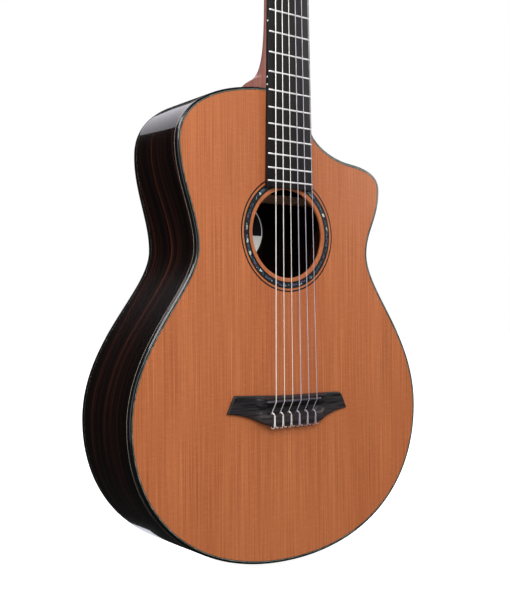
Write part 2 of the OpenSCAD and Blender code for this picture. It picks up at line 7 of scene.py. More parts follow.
import json
import math

import bmesh
import bpy
from mathutils import Matrix, Vector

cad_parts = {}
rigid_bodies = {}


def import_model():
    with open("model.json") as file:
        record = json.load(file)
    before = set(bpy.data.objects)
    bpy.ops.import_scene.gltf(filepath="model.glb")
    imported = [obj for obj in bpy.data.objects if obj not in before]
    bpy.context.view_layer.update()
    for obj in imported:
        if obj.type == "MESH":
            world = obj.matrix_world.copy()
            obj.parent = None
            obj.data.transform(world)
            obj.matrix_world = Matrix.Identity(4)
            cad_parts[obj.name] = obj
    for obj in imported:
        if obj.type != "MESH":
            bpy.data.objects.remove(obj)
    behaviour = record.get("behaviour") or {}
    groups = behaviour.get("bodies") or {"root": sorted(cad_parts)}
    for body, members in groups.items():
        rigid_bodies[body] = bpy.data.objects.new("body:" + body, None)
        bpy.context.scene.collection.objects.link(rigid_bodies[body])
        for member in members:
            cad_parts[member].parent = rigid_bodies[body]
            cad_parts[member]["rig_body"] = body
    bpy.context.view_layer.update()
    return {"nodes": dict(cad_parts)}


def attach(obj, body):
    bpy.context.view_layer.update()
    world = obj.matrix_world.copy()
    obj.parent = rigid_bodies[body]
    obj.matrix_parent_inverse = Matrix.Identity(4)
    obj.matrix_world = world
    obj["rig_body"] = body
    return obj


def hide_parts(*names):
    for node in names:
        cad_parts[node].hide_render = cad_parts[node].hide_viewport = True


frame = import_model()
NODES = frame["nodes"]
MM = 0.001
TAU = 2 * math.pi

# ---- Sizes shared with the CAD, in millimetres ----

SCALE = 650.0
TOP_Z = -320.7
SEAT_Z = -322.5
TAIL_Z = -820.7
HOLE_Z = -474.5
HOLE_R = 47.0
LABEL_Z = -465.5
SIDE_T = 2.2
TOP_T = 2.4
BACK_T = 2.4
BINDING_H = 6.0
BOARD_T = 5.0
BOARD_END = -427.0
BOARD_TAPER = 0.0184
FRET_COUNT = 18
BODY_DEEP = 101.0
BACK_RADIUS = 3000.0
BACK_LOW_Z = -680.0
HEAD_TILT = math.radians(13)
NUT_T = 5.0
NUT_HALF = 22.9
HEAD_HALF = 34.0
HEAD_LEN = 190.0
HEAD_T = 18.0
VENEER_T = 2.0
SADDLE_Z = -650.9
SADDLE_HALF = 37.0
STRING_D = [0.71, 0.82, 1.02, 0.76, 0.9, 1.1]
WINDING_X = [18.6, 14, 14, 14, 14, 18.6]
WINDING_WAY = [-1, 1, 1, 1, 1, -1]
ROLLER_R = 5.0
ROLLER_V = 9.0
TUNERS = range(1, 7)


def fret_z(n):
    return -SCALE * (1 - 2 ** (-n / 12))


def board_half(z):
    return NUT_HALF - BOARD_TAPER * z


def back_y(z):
    """Depth of the back's outer face at height z."""
    return BODY_DEEP - BACK_RADIUS + math.sqrt(BACK_RADIUS**2 - (z - BACK_LOW_Z) ** 2)


def smooth(v, a, b):
    """0 at a, 1 at b, with a soft start and end."""
    t = min(max((v - a) / (b - a), 0), 1)
    return t * t * (3 - 2 * t)


def mix(a, b, t):
    return a + (b - a) * t


# ---- Curves ----


def bez(p, n=48):
    """Points of a cubic curve, without its last point."""
    out = []
    for i in range(n):
        t = i / n
        s = 1 - t
        w = (s * s * s, 3 * s * s * t, 3 * s * t * t, t * t * t)
        out.append(tuple(sum(w[k] * p[k][j] for k in range(4)) for j in range(len(p[0]))))
    return out


def mirrored_back(p, last):
    """A bass-side curve on the treble side, run the other way and without its last point."""
    q = [(-x, z) for x, z in p + [last]]
    return q[:0:-1]


def inset(p, d):
    """A closed anticlockwise outline moved inwards by d, each corner mitred."""
    out = []
    n = len(p)
    for i in range(n):
        a, b, c = Vector(p[i - 1]), Vector(p[i]), Vector(p[(i + 1) % n])
        u, v = (b - a).normalized(), (c - b).normalized()
        w = u + v
        k = d / (1 + u.dot(v))
        out.append((b.x - k * w.y, b.y + k * w.x))
    return out


def body_outline():
    """The body's outer edge, anticlockwise from the tail up the treble side, as (x, z)."""
    upper, waist, lower = -389.0, -492.7, -666.3
    lower_half, waist_half, upper_half = 191.5, 115.6, 137.6
    upper_at, waist_at, lower_at = (-upper_half, upper), (-waist_half, waist), (-lower_half, lower)
    scoop, horn = (90.2, -391.0), (135.6, -417.2)
    cut_x, cut_z = 30.5, -350.0
    bass_waist = bez([upper_at, (-upper_half, upper - 38), (-waist_half, waist + 32.2), waist_at])
    lower_side = bez([waist_at, (-waist_half, waist - 41.8), (-lower_half, lower + 80.8), lower_at])
    tail_side = bez([lower_at, (-lower_half, lower - 94.3), (-114.1, TAIL_Z), (0, TAIL_Z)])
    shoulder = bez([(0, TOP_Z), (-85.3, TOP_Z), (-upper_half, upper + 42.3), upper_at])
    shoulder = [(x, min(z, SEAT_Z)) for x, z in shoulder]
    horn_side = bez([(waist_half, waist), (waist_half, waist + 28.1), (horn[0], horn[1] - 34), horn])
    horn_top = bez([horn, (horn[0], horn[1] + 20.5), (scoop[0] + 16.6, scoop[1] - 1.7), scoop])
    cutaway = bez([scoop, (scoop[0] - 24.1, scoop[1] + 2.4), (cut_x, cut_z - 24), (cut_x, cut_z)])
    wall = [(cut_x, cut_z), (cut_x, mix(cut_z, SEAT_Z, 0.5)), (cut_x, SEAT_Z)]
    treble = mirrored_back(tail_side, (0, TAIL_Z)) + mirrored_back(lower_side, lower_at)
    treble += horn_side + horn_top + cutaway + wall
    return treble + shoulder + bass_waist + lower_side + tail_side


OUTLINE = body_outline()


def turns(n):
    return [TAU * i / n for i in range(n)]


def half_turns(n):
    return [math.pi * i / n for i in range(n + 1)]


def circle(r):
    """Points round the sound hole's centre, as (x, z)."""
    return [(r * math.cos(a), HOLE_Z + r * math.sin(a)) for a in turns(192)]


def quarter(r, n):
    """A rounded edge of radius r, as steps inwards and steps along, from the full radius in to none."""
    return [(r * (1 - math.sin(a)), r * (1 - math.cos(a))) for a in half_turns(2 * n)[: n + 1]]


def signed_power(v, power):
    """v raised to a power, with its sign kept."""
    return math.copysign(abs(v) ** power, v)


# ---- Meshes ----


class Shape:
    """Vertices in millimetres and faces, gathered piece by piece."""

    def __init__(self):
        self.verts, self.faces, self.uvs = [], [], []

    def add(self, verts, faces, uvs=None):
        base = len(self.verts)
        self.verts += [tuple(v) for v in verts]
        self.faces += [tuple(base + i for i in f) for f in faces]
        self.uvs += list(uvs) if uvs else [(0, 0)] * len(verts)

    def grid(self, rows, wrap=False, caps=False, uvs=None):
        """Quads between rows of equal length; wrap joins each row's ends."""
        n, m = len(rows[0]), len(rows)
        faces = []
        for k in range(m - 1):
            for i in range(n if wrap else n - 1):
                j = (i + 1) % n
                faces.append((k * n + i, k * n + j, (k + 1) * n + j, (k + 1) * n + i))
        if caps:
            faces.append(tuple(range(n - 1, -1, -1)))
            faces.append(tuple((m - 1) * n + i for i in range(n)))
        self.add([v for r in rows for v in r], faces, uvs)

    def place(self, where):
        self.verts = [tuple(where(v)) for v in self.verts]
        return self


def solid(rows):
    """A closed shape through rings of points."""
    shape = Shape()
    shape.grid(rows, wrap=True, caps=True)
    return shape


def settle(obj, sharp):
    """Merges, turns the faces outwards and shades smooth, with hard edges over the angle sharp."""
    me = obj.data
    bm = bmesh.new()
    bm.from_mesh(me)
    bmesh.ops.remove_doubles(bm, verts=bm.verts, dist=2e-6)
    bmesh.ops.dissolve_degenerate(bm, edges=bm.edges, dist=1e-6)
    loose = [v for v in bm.verts if not v.link_faces]
    bmesh.ops.delete(bm, geom=loose, context="VERTS")
    bmesh.ops.recalc_face_normals(bm, faces=bm.faces)
    bm.to_mesh(me)
    bm.free()
    me.polygons.foreach_set("use_smooth", [True] * len(me.polygons))
    me.set_sharp_from_angle(angle=math.radians(sharp))


def as_object(name, shape):
    me = bpy.data.meshes.new(name)
    me.from_pydata([(x * MM, y * MM, z * MM) for x, y, z in shape.verts], [], shape.faces)
    obj = bpy.data.objects.new(name, me)
    bpy.context.scene.collection.objects.link(obj)
    return obj


def piece(name, shape, material, stands_for=(), body="guitar", sharp=35):
    """A visible piece: its mesh, its finish, its body, and the CAD nodes that it stands for."""
    obj = as_object(name, shape)
    me = obj.data
    if any(u != (0, 0) for u in shape.uvs):
        layer = me.uv_layers.new(name="grain")
        for loop in me.loops:
            layer.data[loop.index].uv = shape.uvs[loop.vertex_index]
    settle(obj, sharp)
    me.materials.append(material)
    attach(obj, body)
    if stands_for:
        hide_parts(*stands_for)
    return obj


def as_depth(y):
    """y as a function of the height z, whether it is one already or a number."""
    return y if callable(y) else (lambda z: y)


def flat_fill(shape, loops, y, step=None):
    """A flat face in the plane of the soundboard, bounded by loops of (x, z), the first one round the others.
    y is a number or a function of z; step cuts the face into strips so that it can follow an arch."""
    bm = bmesh.new()
    edges = []
    for loop in loops:
        vs = [bm.verts.new((x, 0, z)) for x, z in loop]
        edges += [bm.edges.new((vs[i - 1], vs[i])) for i in range(len(vs))]
    bmesh.ops.triangle_fill(bm, use_beauty=True, edges=edges)
    if step:
        lo, hi = min(p[1] for p in loops[0]), max(p[1] for p in loops[0])
        for k in range(1, int((hi - lo) / step) + 1):
            geom = bm.verts[:] + bm.edges[:] + bm.faces[:]
            bmesh.ops.bisect_plane(bm, geom=geom, plane_co=(0, 0, lo + k * step), plane_no=(0, 0, 1))
    bm.verts.index_update()
    depth = as_depth(y)
    verts = [(v.co.x, depth(v.co.z), v.co.z) for v in bm.verts]
    shape.add(verts, [[v.index for v in f.verts] for f in bm.faces])
    bm.free()


def wall(shape, loop, levels):
    """Closed bands along a loop; levels are (y, inset) pairs."""
    rows = []
    for y, d in levels:
        depth = as_depth(y)
        rows.append([(x, depth(z), z) for x, z in (inset(loop, d) if d else loop)])
    shape.grid(rows, wrap=True)


def revolve(shape, profile, closed=False):
    """(radius, y) points turned round the sound hole's axis."""
    rows = [[(x, y, z) for x, z in circle(r)] for r, y in profile]
    if closed:
        rows.append(rows[0])
    shape.grid(rows, wrap=True)


def plate(loops, y0, y1, bevel):
    """A flat plate with holes and rounded edges; hole loops run clockwise."""
    shape = Shape()
    arc = quarter(bevel, 3)
    levels = [(y0 + out, d) for d, out in arc] + [(y1 - out, d) for d, out in reversed(arc)]
    for loop in loops:
        wall(shape, loop, levels)
    inner = [inset(loop, bevel) for loop in loops]
    flat_fill(shape, inner, y0)
    flat_fill(shape, inner, y1)
    return shape


def frames_along(path):
    """A normal and a binormal at each point, turned as little as possible from one to the next."""
    pts = [Vector(p) for p in path]
    m = len(pts)
    out = []
    n = None
    for k in range(m):
        t = (pts[min(k + 1, m - 1)] - pts[max(k - 1, 0)]).normalized()
        if n is None:
            n = Vector((1, 0, 0)) - t * t.x
            if n.length < 0.1:
                n = Vector((0, 0, 1)) - t * t.z
        else:
            n = n - t * n.dot(t)
        n.normalize()
        out.append((pts[k], n, t.cross(n)))
    return out


def ring_at(centre, n, b, r, sides):
    """Points of a circle round centre, in the plane of the unit vectors n and b."""
    return [centre + r * (math.cos(a) * n + math.sin(a) * b) for a in turns(sides)]


def tube(path, radius, sides=12):
    """A round cord along path, with its length kept for the winding's pattern."""
    shape, rows, uvs = Shape(), [], []
    length = 0.0
    last = None
    for p, n, b in frames_along(path):
        if last is not None:
            length += (p - last).length
        last = p
        rows.append(ring_at(p, n, b, radius, sides))
        uvs += [(length * MM + 0.001, i / sides) for i in range(sides)]
    shape.grid(rows, wrap=True, caps=True, uvs=uvs)
    return shape


def rounded(path, reach, n=5):
    """The path with each inner corner replaced by a short curve."""
    pts = [Vector(p) for p in path]
    out = [pts[0]]
    for a, b, c in zip(pts, pts[1:], pts[2:]):
        d = min(reach, (a - b).length * 0.45, (c - b).length * 0.45)
        p, q = b + (a - b).normalized() * d, b + (c - b).normalized() * d
        for k in range(n + 1):
            t = k / n
            out.append((1 - t) ** 2 * p + 2 * t * (1 - t) * b + t * t * q)
    out.append(pts[-1])
    return out


def head(v):
    """A point (x, v, u) of the head's frame: v from its face to its back, u along it from the nut."""
    c, s = math.cos(HEAD_TILT), math.sin(HEAD_TILT)
    return (v[0], v[1] * c + v[2] * s, NUT_T - v[1] * s + v[2] * c)


def softened(node, width, material, sharp=35, segments=2):
    """A copy of a CAD piece with its hard edges rounded, shown in its place."""
    src = NODES[node]
    me = src.data.copy()
    obj = bpy.data.objects.new(node + "_finished", me)
    bpy.context.scene.collection.objects.link(obj)
    bm = bmesh.new()
    bm.from_mesh(me)
    bmesh.ops.remove_doubles(bm, verts=bm.verts, dist=4e-6)
    bmesh.ops.dissolve_limit(bm, angle_limit=math.radians(0.6), verts=bm.verts, edges=bm.edges)
    bm.to_mesh(me)
    bm.free()
    mod = obj.modifiers.new("edge", "BEVEL")
    mod.width = width * MM
    mod.segments = segments
    mod.limit_method = "ANGLE"
    mod.angle_limit = math.radians(sharp)
    dg = bpy.context.evaluated_depsgraph_get()
    new = bpy.data.meshes.new_from_object(obj.evaluated_get(dg))
    obj.modifiers.clear()
    obj.data = new
    new.polygons.foreach_set("use_smooth", [True] * len(new.polygons))
    new.set_sharp_from_angle(angle=math.radians(sharp))
    new.materials.clear()
    new.materials.append(material)
    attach(obj, src["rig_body"])
    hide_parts(node)


# ---- Materials ----


def srgb(*rgb):
    """A colour given in 0 to 255, as linear light with full alpha."""
    linear = [((c / 255 + 0.055) / 1.055) ** 2.4 if c > 10 else c / 255 / 12.92 for c in rgb]
    return (*linear, 1.0)


class Finish:
    """A material on the Principled shader, with short calls for the nodes used here."""

    def __init__(self, name, **settings):
        self.mat = bpy.data.materials.new(name)
        self.mat.use_nodes = True
        self.tree = self.mat.node_tree
        self.shader = self.tree.nodes["Principled BSDF"]
        for key, value in settings.items():
            self.shader.inputs[key.replace("_", " ")].default_value = value
        coords = self.node("ShaderNodeTexCoord")
        self.place = coords.outputs["Object"]

    def node(self, kind, inputs=None, **props):
        n = self.tree.nodes.new(kind)
        for key, value in props.items():
            setattr(n, key, value)
        for key, value in (inputs or {}).items():
            self.put(n.inputs[key], value)
        return n

    def put(self, socket, value):
        if isinstance(value, bpy.types.NodeSocket):
            self.tree.links.new(value, socket)
        else:
            socket.default_value = value

    def math(self, op, a, b=0.0, c=0.0):
        n = self.node("ShaderNodeMath", operation=op)
        for k, v in enumerate((a, b, c)):
            self.put(n.inputs[k], v)
        return n.outputs[0]

    def split(self, vec):
        return self.node("ShaderNodeSeparateXYZ", {0: vec}).outputs

    def join(self, x, y, z):
        return self.node("ShaderNodeCombineXYZ", {0: x, 1: y, 2: z}).outputs[0]

    def stretch(self, vec, scale, move=(0, 0, 0)):
        return self.node("ShaderNodeMapping", {"Vector": vec, "Scale": scale, "Location": move}).outputs[0]

    def noise(self, vec, scale=1.0, detail=3.0, rough=0.55, distort=0.0):
        ins = {"Vector": vec, "Scale": scale, "Detail": detail, "Roughness": rough, "Distortion": distort}
        return self.node("ShaderNodeTexNoise", ins).outputs["Fac"]

    def fleck(self, scale, detail, rough=0.55, distort=0.0):
        """Noise over the object's own space, stretched by scale."""
        return self.noise(self.stretch(self.place, scale), 1.0, detail, rough, distort)

    def ramp(self, fac, *stops):
        """Colours mixed along fac; a stop is its place and its colour in 0 to 255."""
        n = self.node("ShaderNodeValToRGB", {"Fac": fac})
        ramp = n.color_ramp
        while len(ramp.elements) < len(stops):
            ramp.elements.new(0.5)
        for e, (at, *colour) in zip(ramp.elements, stops):
            e.position = at
            e.color = srgb(*colour)
        return n.outputs["Color"]

    def blend(self, fac, a, b):
        n = self.node("ShaderNodeMix", data_type="RGBA", blend_type="MIX")
        for k, v in ((0, fac), (6, a), (7, b)):
            self.put(n.inputs[k], v)
        return n.outputs[2]

    def span(self, v, a, b, c=0.0, d=1.0):
        """v mapped from a..b to c..d, held at the ends."""
        ins = {"Value": v, "From Min": a, "From Max": b, "To Min": c, "To Max": d}
        return self.node("ShaderNodeMapRange", ins).outputs[0]

    def streaks(self, along, across, down, over, seed, detail=2.0, rough=0.55, distort=0.0):
        """Noise with down changes a metre along the grain and over a metre across it."""
        place = self.join(self.math("MULTIPLY", along, down), self.math("MULTIPLY", across, over), seed)
        return self.noise(place, 1.0, detail, rough, distort)

    def tint(self, base, fac, low, high, weight, *rgb):
        """base with a colour laid over it, by up to weight, as fac goes from low to high."""
        return self.blend(self.span(fac, low, high, 0.0, weight), base, srgb(*rgb))

    def bump(self, height, strength, depth):
        ins = {"Height": height, "Strength": strength, "Distance": depth}
        return self.node("ShaderNodeBump", ins).outputs["Normal"]

    def set(self, **links):
        for key, value in links.items():
            self.put(self.shader.inputs[key.replace("_", " ")], value)
        return self.mat


def cedar():
    """Straight-grained cedar under satin lacquer, both halves opened from one board."""
    f = Finish("cedar_top", Coat_Weight=0.25, Coat_Roughness=0.2, Coat_IOR=1.45, Specular_IOR_Level=0.25)
    x, y, z = f.split(f.place)
    across = f.math("ABSOLUTE", x)
    drift = f.noise(f.join(across, 0.0, z), 3.0, 1.0)
    across = f.math("MULTIPLY_ADD", drift, 0.006, across)
    fine = f.noise(f.stretch(f.join(across, y, z), (1500, 300, 9)), 1.0, 2.0, 0.6)
    rings = f.noise(f.stretch(f.join(across, 0.0, z), (560, 1, 3.0)), 1.0, 1.0, 0.5)
    rare = f.noise(f.stretch(f.join(across, 0.0, z), (150, 1, 0.8), (9.4, 0, 0)), 1.0, 1.0, 0.5)
    broad = f.noise(f.stretch(f.join(across, 0.0, z), (17, 1, 1.6), (3.1, 0, 0)), 1.0, 2.0, 0.5)
    silk = f.noise(f.stretch(f.join(across, 0.0, z), (70, 1, 520)), 1.0, 2.0, 0.6)
    speck = f.fleck((1100, 700, 420), 2.0)
    wood = f.ramp(broad, (0.3, 176, 100, 58), (0.52, 183, 107, 63), (0.72, 190, 113, 69))
    wood = f.tint(wood, rings, 0.42, 0.62, 0.3, 138, 68, 36)
    wood = f.tint(wood, fine, 0.46, 0.66, 0.5, 128, 62, 32)
    wood = f.tint(wood, fine, 0.44, 0.28, 0.34, 216, 142, 94)
    wood = f.tint(wood, rare, 0.3, 0.24, 0.34, 212, 138, 92)
    wood = f.tint(wood, rare, 0.7, 0.78, 0.4, 122, 60, 32)
    wood = f.tint(wood, silk, 0.5, 0.72, 0.2, 204, 128, 84)
    wood = f.tint(wood, speck, 0.54, 0.7, 0.3, 126, 62, 34)
    rough = f.span(fine, 0.3, 0.7, 0.34, 0.46)
    return f.set(Base_Color=wood, Roughness=rough, Normal=f.bump(fine, 0.12, 0.0002))


def rosewood(name, from_uv, gloss):
    """Dark rosewood under gloss lacquer; from_uv carries the grain round a bent side."""
    f = Finish(name, Coat_Weight=1.0, Coat_Roughness=gloss, Coat_IOR=1.5, Specular_IOR_Level=0.1)
    if from_uv:
        along, across, _ = f.split(f.node("ShaderNodeUVMap", uv_map="grain").outputs[0])
    else:
        x, y, along = f.split(f.place)
        across = f.math("ABSOLUTE", x)
    sway = f.streaks(along, across, 3.4, 8.0, 0.0)
    across = f.math("MULTIPLY_ADD", sway, 0.035, across)
    streak = f.streaks(along, across, 1.6, 250.0, 0.4, 2.0, 0.6, 0.2)
    wide = f.streaks(along, across, 1.3, 44.0, 5.0, 2.0, 0.5)
    fine = f.streaks(along, across, 12.0, 900.0, 2.0, 2.0, 0.6)
    pore = f.streaks(along, across, 160.0, 2400.0, 1.0, 1.0)
    wood = f.ramp(streak, (0.38, 6, 3, 2), (0.54, 19, 8, 6), (0.64, 50, 21, 14), (0.78, 84, 40, 26))
    wood = f.tint(wood, wide, 0.42, 0.66, 0.75, 8, 4, 3)
    wood = f.tint(wood, fine, 0.42, 0.72, 0.5, 10, 5, 4)
    wood = f.tint(wood, pore, 0.66, 0.72, 0.6, 6, 3, 3)
    return f.set(Base_Color=wood, Roughness=f.span(fine, 0.3, 0.7, 0.3, 0.42))


def brown_wood(name, dark, light, rough, grain=(420, 420, 7), coat=0.25):
    """Straight-grained wood for the neck, the blocks and the braces."""
    f = Finish(name, Coat_Weight=coat, Coat_Roughness=0.2, Specular_IOR_Level=0.4)
    streak = f.fleck(grain, 3.0, 0.6)
    broad = f.fleck(tuple(g * 0.11 for g in grain[:2]) + (2.0,), 2.0)
    pore = f.fleck((1900, 1900, 110), 1.0)
    wood = f.ramp(streak, (0.32, *dark), (0.7, *light))
    wood = f.tint(wood, broad, 0.4, 0.7, 0.4, *[c * 0.8 for c in dark])
    wood = f.tint(wood, pore, 0.62, 0.7, 0.45, *[c * 0.55 for c in dark])
    bump = f.bump(pore, 0.1, 0.0001)
    return f.set(Base_Color=wood, Roughness=f.span(streak, 0.3, 0.7, rough, rough + 0.12), Normal=bump)


def ebony(name, dark, light, grain=(700, 700, 12), rough=0.38):
    """Near-black wood for the fingerboard, the bridge and the head's face."""
    f = Finish(name, Specular_IOR_Level=0.34)
    streak = f.fleck(grain, 3.0, 0.6)
    broad = f.fleck(tuple(g * 0.07 for g in grain), 2.0)
    wood = f.ramp(streak, (0.34, *dark), (0.74, *light))
    wood = f.tint(wood, broad, 0.45, 0.75, 0.35, light[0] * 1.25, light[1] * 1.08, light[2])
    bump = f.bump(streak, 0.16, 0.00015)
    return f.set(Base_Color=wood, Roughness=f.span(streak, 0.3, 0.7, rough, rough + 0.14), Normal=bump)


def binding():
    f = Finish("black_binding", Coat_Weight=1.0, Coat_Roughness=0.05, Specular_IOR_Level=0.3)
    grain = f.fleck((900, 900, 900), 2.0)
    wear = f.fleck((40, 40, 40), 3.0)
    base = f.ramp(grain, (0.3, 9, 9, 10), (0.7, 15, 15, 16))
    base = f.tint(base, wear, 0.55, 0.75, 0.3, 26, 25, 25)
    return f.set(Base_Color=base, Roughness=f.span(wear, 0.3, 0.7, 0.26, 0.34))


def purfling():
    """A grey-green shell line laid in short slips."""
    f = Finish("purfling_line", Coat_Weight=0.5, Coat_Roughness=0.08)
    slip = f.node("ShaderNodeTexVoronoi", {"Vector": f.place, "Scale": 210.0}, feature="F1").outputs["Color"]
    tone = f.split(slip)[0]
    flame = f.fleck((700, 700, 700), 2.0)
    shell = f.ramp(tone, (0.0, 74, 86, 80), (0.4, 98, 110, 104), (0.7, 112, 116, 104), (1.0, 134, 144, 140))
    shell = f.tint(shell, flame, 0.4, 0.7, 0.5, 58, 66, 62)
    return f.set(Base_Color=shell, Roughness=f.span(flame, 0.3, 0.7, 0.2, 0.34))


def abalone():
    """Dark shell chips round the hole, blue-green and grey; some chips are painted near white as painted
    glints of light.
    """
    f = Finish("abalone_ring", Coat_Weight=0.7, Coat_Roughness=0.05, Specular_IOR_Level=0.6)
    cell = f.node("ShaderNodeTexVoronoi", {"Vector": f.place, "Scale": 340.0}, feature="F1")
    tone = f.split(cell.outputs["Color"])
    swirl = f.fleck((520, 520, 520), 3.0, 0.65, 1.2)
    shell = f.ramp(swirl, (0.3, 14, 22, 30), (0.48, 34, 52, 62), (0.6, 70, 98, 104), (0.74, 136, 160, 160))
    shell = f.tint(shell, tone[0], 0.45, 0.6, 0.75, 20, 26, 34)
    # Near-white chips: a painted highlight, glints painted into the shell's colour.
    shell = f.tint(shell, tone[1], 0.88, 0.93, 0.7, 206, 222, 214)
    shell = f.tint(shell, tone[2], 0.75, 0.9, 0.5, 96, 84, 116)
    return f.set(Base_Color=shell, Roughness=f.span(swirl, 0.3, 0.7, 0.16, 0.3))


def metal(name, colour, rough, worn, pure=1.0):
    f = Finish(name, Metallic=pure, Specular_IOR_Level=0.8)
    blot = f.fleck((260, 260, 260), 3.0, 0.6)
    brush = f.fleck((2600, 1400, 900), 2.0)
    base = f.ramp(blot, (0.35, *colour), (0.75, *worn))
    bump = f.bump(brush, 0.06, 0.00005)
    return f.set(Base_Color=base, Roughness=f.span(brush, 0.3, 0.7, rough, rough + 0.14), Normal=bump)


def wound_string():
    """Silver-plated winding, its turns drawn by bump and by colour: painted shade in the grooves between
    turns and a painted highlight on their crests.
    """
    f = Finish("wound_string", Metallic=0.35, Specular_IOR_Level=0.8)
    u, v, _ = f.split(f.node("ShaderNodeUVMap", uv_map="grain").outputs[0])
    turn = f.math("FRACT", f.math("MULTIPLY_ADD", u, 2600.0, v))
    ridge = f.math("SINE", f.math("MULTIPLY", turn, math.pi))
    # Dark in the grooves, pale on the crests: painted shade and painted highlight on each turn.
    base = f.ramp(ridge, (0.0, 150, 144, 142), (0.45, 236, 231, 228), (1.0, 252, 249, 246))
    bump = f.bump(ridge, 0.4, 0.00005)
    return f.set(Base_Color=base, Roughness=f.span(ridge, 0.0, 1.0, 0.46, 0.26), Normal=bump)


def nylon():
    f = Finish("nylon_string", Specular_IOR_Level=0.6, IOR=1.53, Coat_Weight=0.5, Coat_Roughness=0.12)
    haze = f.fleck((900, 900, 40), 2.0)
    base = f.ramp(haze, (0.35, 156, 147, 160), (0.7, 184, 176, 188))
    return f.set(Base_Color=base, Roughness=f.span(haze, 0.3, 0.7, 0.2, 0.32))


def bone(name, dark, light):
    f = Finish(name, Coat_Weight=0.3, Coat_Roughness=0.15, Specular_IOR_Level=0.5)
    cloud = f.fleck((60, 220, 220), 3.0)
    speck = f.fleck((900, 2200, 900), 2.0)
    base = f.ramp(cloud, (0.3, *dark), (0.7, *light))
    base = f.tint(base, speck, 0.6, 0.75, 0.3, *[c * 0.75 for c in dark])
    return f.set(Base_Color=base, Roughness=f.span(speck, 0.3, 0.7, 0.26, 0.4))


def button_finish():
    f = Finish("button_black", Coat_Weight=0.6, Coat_Roughness=0.08)
    swirl = f.fleck((240, 90, 240), 3.0, 0.6, 0.8)
    base = f.ramp(swirl, (0.35, 16, 15, 16), (0.75, 38, 35, 36))
    return f.set(Base_Color=base, Roughness=f.span(swirl, 0.3, 0.7, 0.2, 0.34))


def paper_label():
    """Dark paper with a thin pale ring near its edge and a plain pale band below the middle; the whole paper
    glows faintly as painted light.
    """
    # Emission Strength 0.22 is a painted glow: the paper shines by its own colour so that it shows brightly
    # inside the dark body.
    f = Finish("paper_label", Specular_IOR_Level=0.2, Emission_Strength=0.22)
    ring_r, ring_half = 33.6 * MM, 0.5 * MM
    band_top, band_r = -3.1 * MM, 34.2 * MM
    x, _, z = f.split(f.place)
    up = f.math("SUBTRACT", z, LABEL_Z * MM)
    r = f.math("SQRT", f.math("ADD", f.math("MULTIPLY", x, x), f.math("MULTIPLY", up, up)))
    ring = f.math("COMPARE", r, ring_r, ring_half)
    fibre = f.fleck((1500, 1500, 900), 3.0)
    dark = f.ramp(fibre, (0.3, 20, 19, 24), (0.7, 32, 30, 36))
    pale = f.ramp(fibre, (0.3, 236, 234, 230), (0.7, 248, 246, 242))
    low = f.math("MULTIPLY", f.math("LESS_THAN", up, band_top), f.math("LESS_THAN", r, band_r))
    base = f.blend(f.math("MAXIMUM", ring, low), dark, pale)
    # Emission Color is the paper's own colour, the painted glow set above.
    return f.set(Base_Color=base, Emission_Color=base, Roughness=f.span(fibre, 0.3, 0.7, 0.62, 0.8))


CEDAR = cedar()
ROSEWOOD_SIDE = rosewood("rosewood_side", True, 0.03)
ROSEWOOD_BACK = rosewood("rosewood_back", False, 0.22)
# One mahogany given twice: the neck's copy is paler and pinker than the head's, partly the wood's own tone
# and partly painted light for the lit heel.
MAHOGANY = brown_wood("mahogany_neck", (132, 84, 74), (168, 114, 101), 0.3, coat=0.5)
MAHOGANY_HEAD = brown_wood("mahogany_head", (118, 68, 56), (152, 96, 80), 0.3, coat=0.5)
BRACE = brown_wood("spruce_bar", (186, 140, 108), (212, 170, 136), 0.55, (12, 520, 520), 0.0)
BLOCK = brown_wood("cedar_block", (72, 42, 32), (98, 60, 44), 0.5, (420, 420, 9), 0.0)
BOARD = ebony("ebony_board", (7, 7, 8), (22, 21, 24))
# The bridge's pale streaks run along its length: partly the ebony's grain and partly a painted highlight for
# soft light on its front bevel.
BRIDGE = ebony("ebony_bridge", (6, 6, 7), (56, 53, 56), (14, 420, 620), 0.32)
VENEER = ebony("ebony_head", (20, 18, 20), (44, 40, 42))
BINDING = binding()
PURFLING = purfling()
ABALONE = abalone()
BLACK_LINE = ebony("black_line", (10, 10, 12), (22, 22, 24), (300, 300, 300), 0.3)
PALE_LINE = brown_wood("pale_line", (150, 142, 130), (186, 178, 166), 0.4, (60, 60, 400), 0.5)
# The frets are near white and mostly matte (metallic 0.15): partly the metal's pale colour and partly a
# painted sheen for polished nickel silver's bright reflection.
FRET_METAL = metal("nickel_silver", (240, 239, 240), 0.22, (252, 252, 252), 0.15)
BRASS = metal("aged_brass", (176, 138, 70), 0.24, (214, 180, 110))
STEEL_STRING = wound_string()
NYLON = nylon()
BONE = bone("bone_nut", (214, 204, 182), (238, 230, 212))
DARK_SADDLE = bone("dark_saddle", (40, 40, 50), (66, 66, 78))
DOT = bone("white_dot", (222, 222, 218), (242, 242, 238))
BUTTON = button_finish()
LABEL = paper_label()

# ---- Body ----

ROSETTE_DEEP = 1.2
SHELL_IN, SHELL_OUT = 53.4, 56.2
LINES_IN, LINES_OUT = 51.2, 58.3
RING_IN, RING_OUT = 60.4, 62.0
PURFLING_END = SIDE_T + 0.8
INNER_LINE_END = SIDE_T + 1.2
FRONT_BINDING_END = 5.5
REAR_BINDING_END = -5.9
WEDGE_HALF = 5.0
SEAT_GAP = 0.025
# The seam strip's section: x, and y over the back's outer face
SEAM = ((-1.6, -0.4), (-1.6, 0.02), (-0.8, 0.03), (0.8, 0.03), (1.6, 0.02), (1.6, -0.4))


def along_outline(p):
    """Length from the first point of p to each of its points."""
    out, total = [0.0], 0.0
    for a, b in zip(p, p[1:]):
        total += math.dist(a, b)
        out.append(total)
    return out


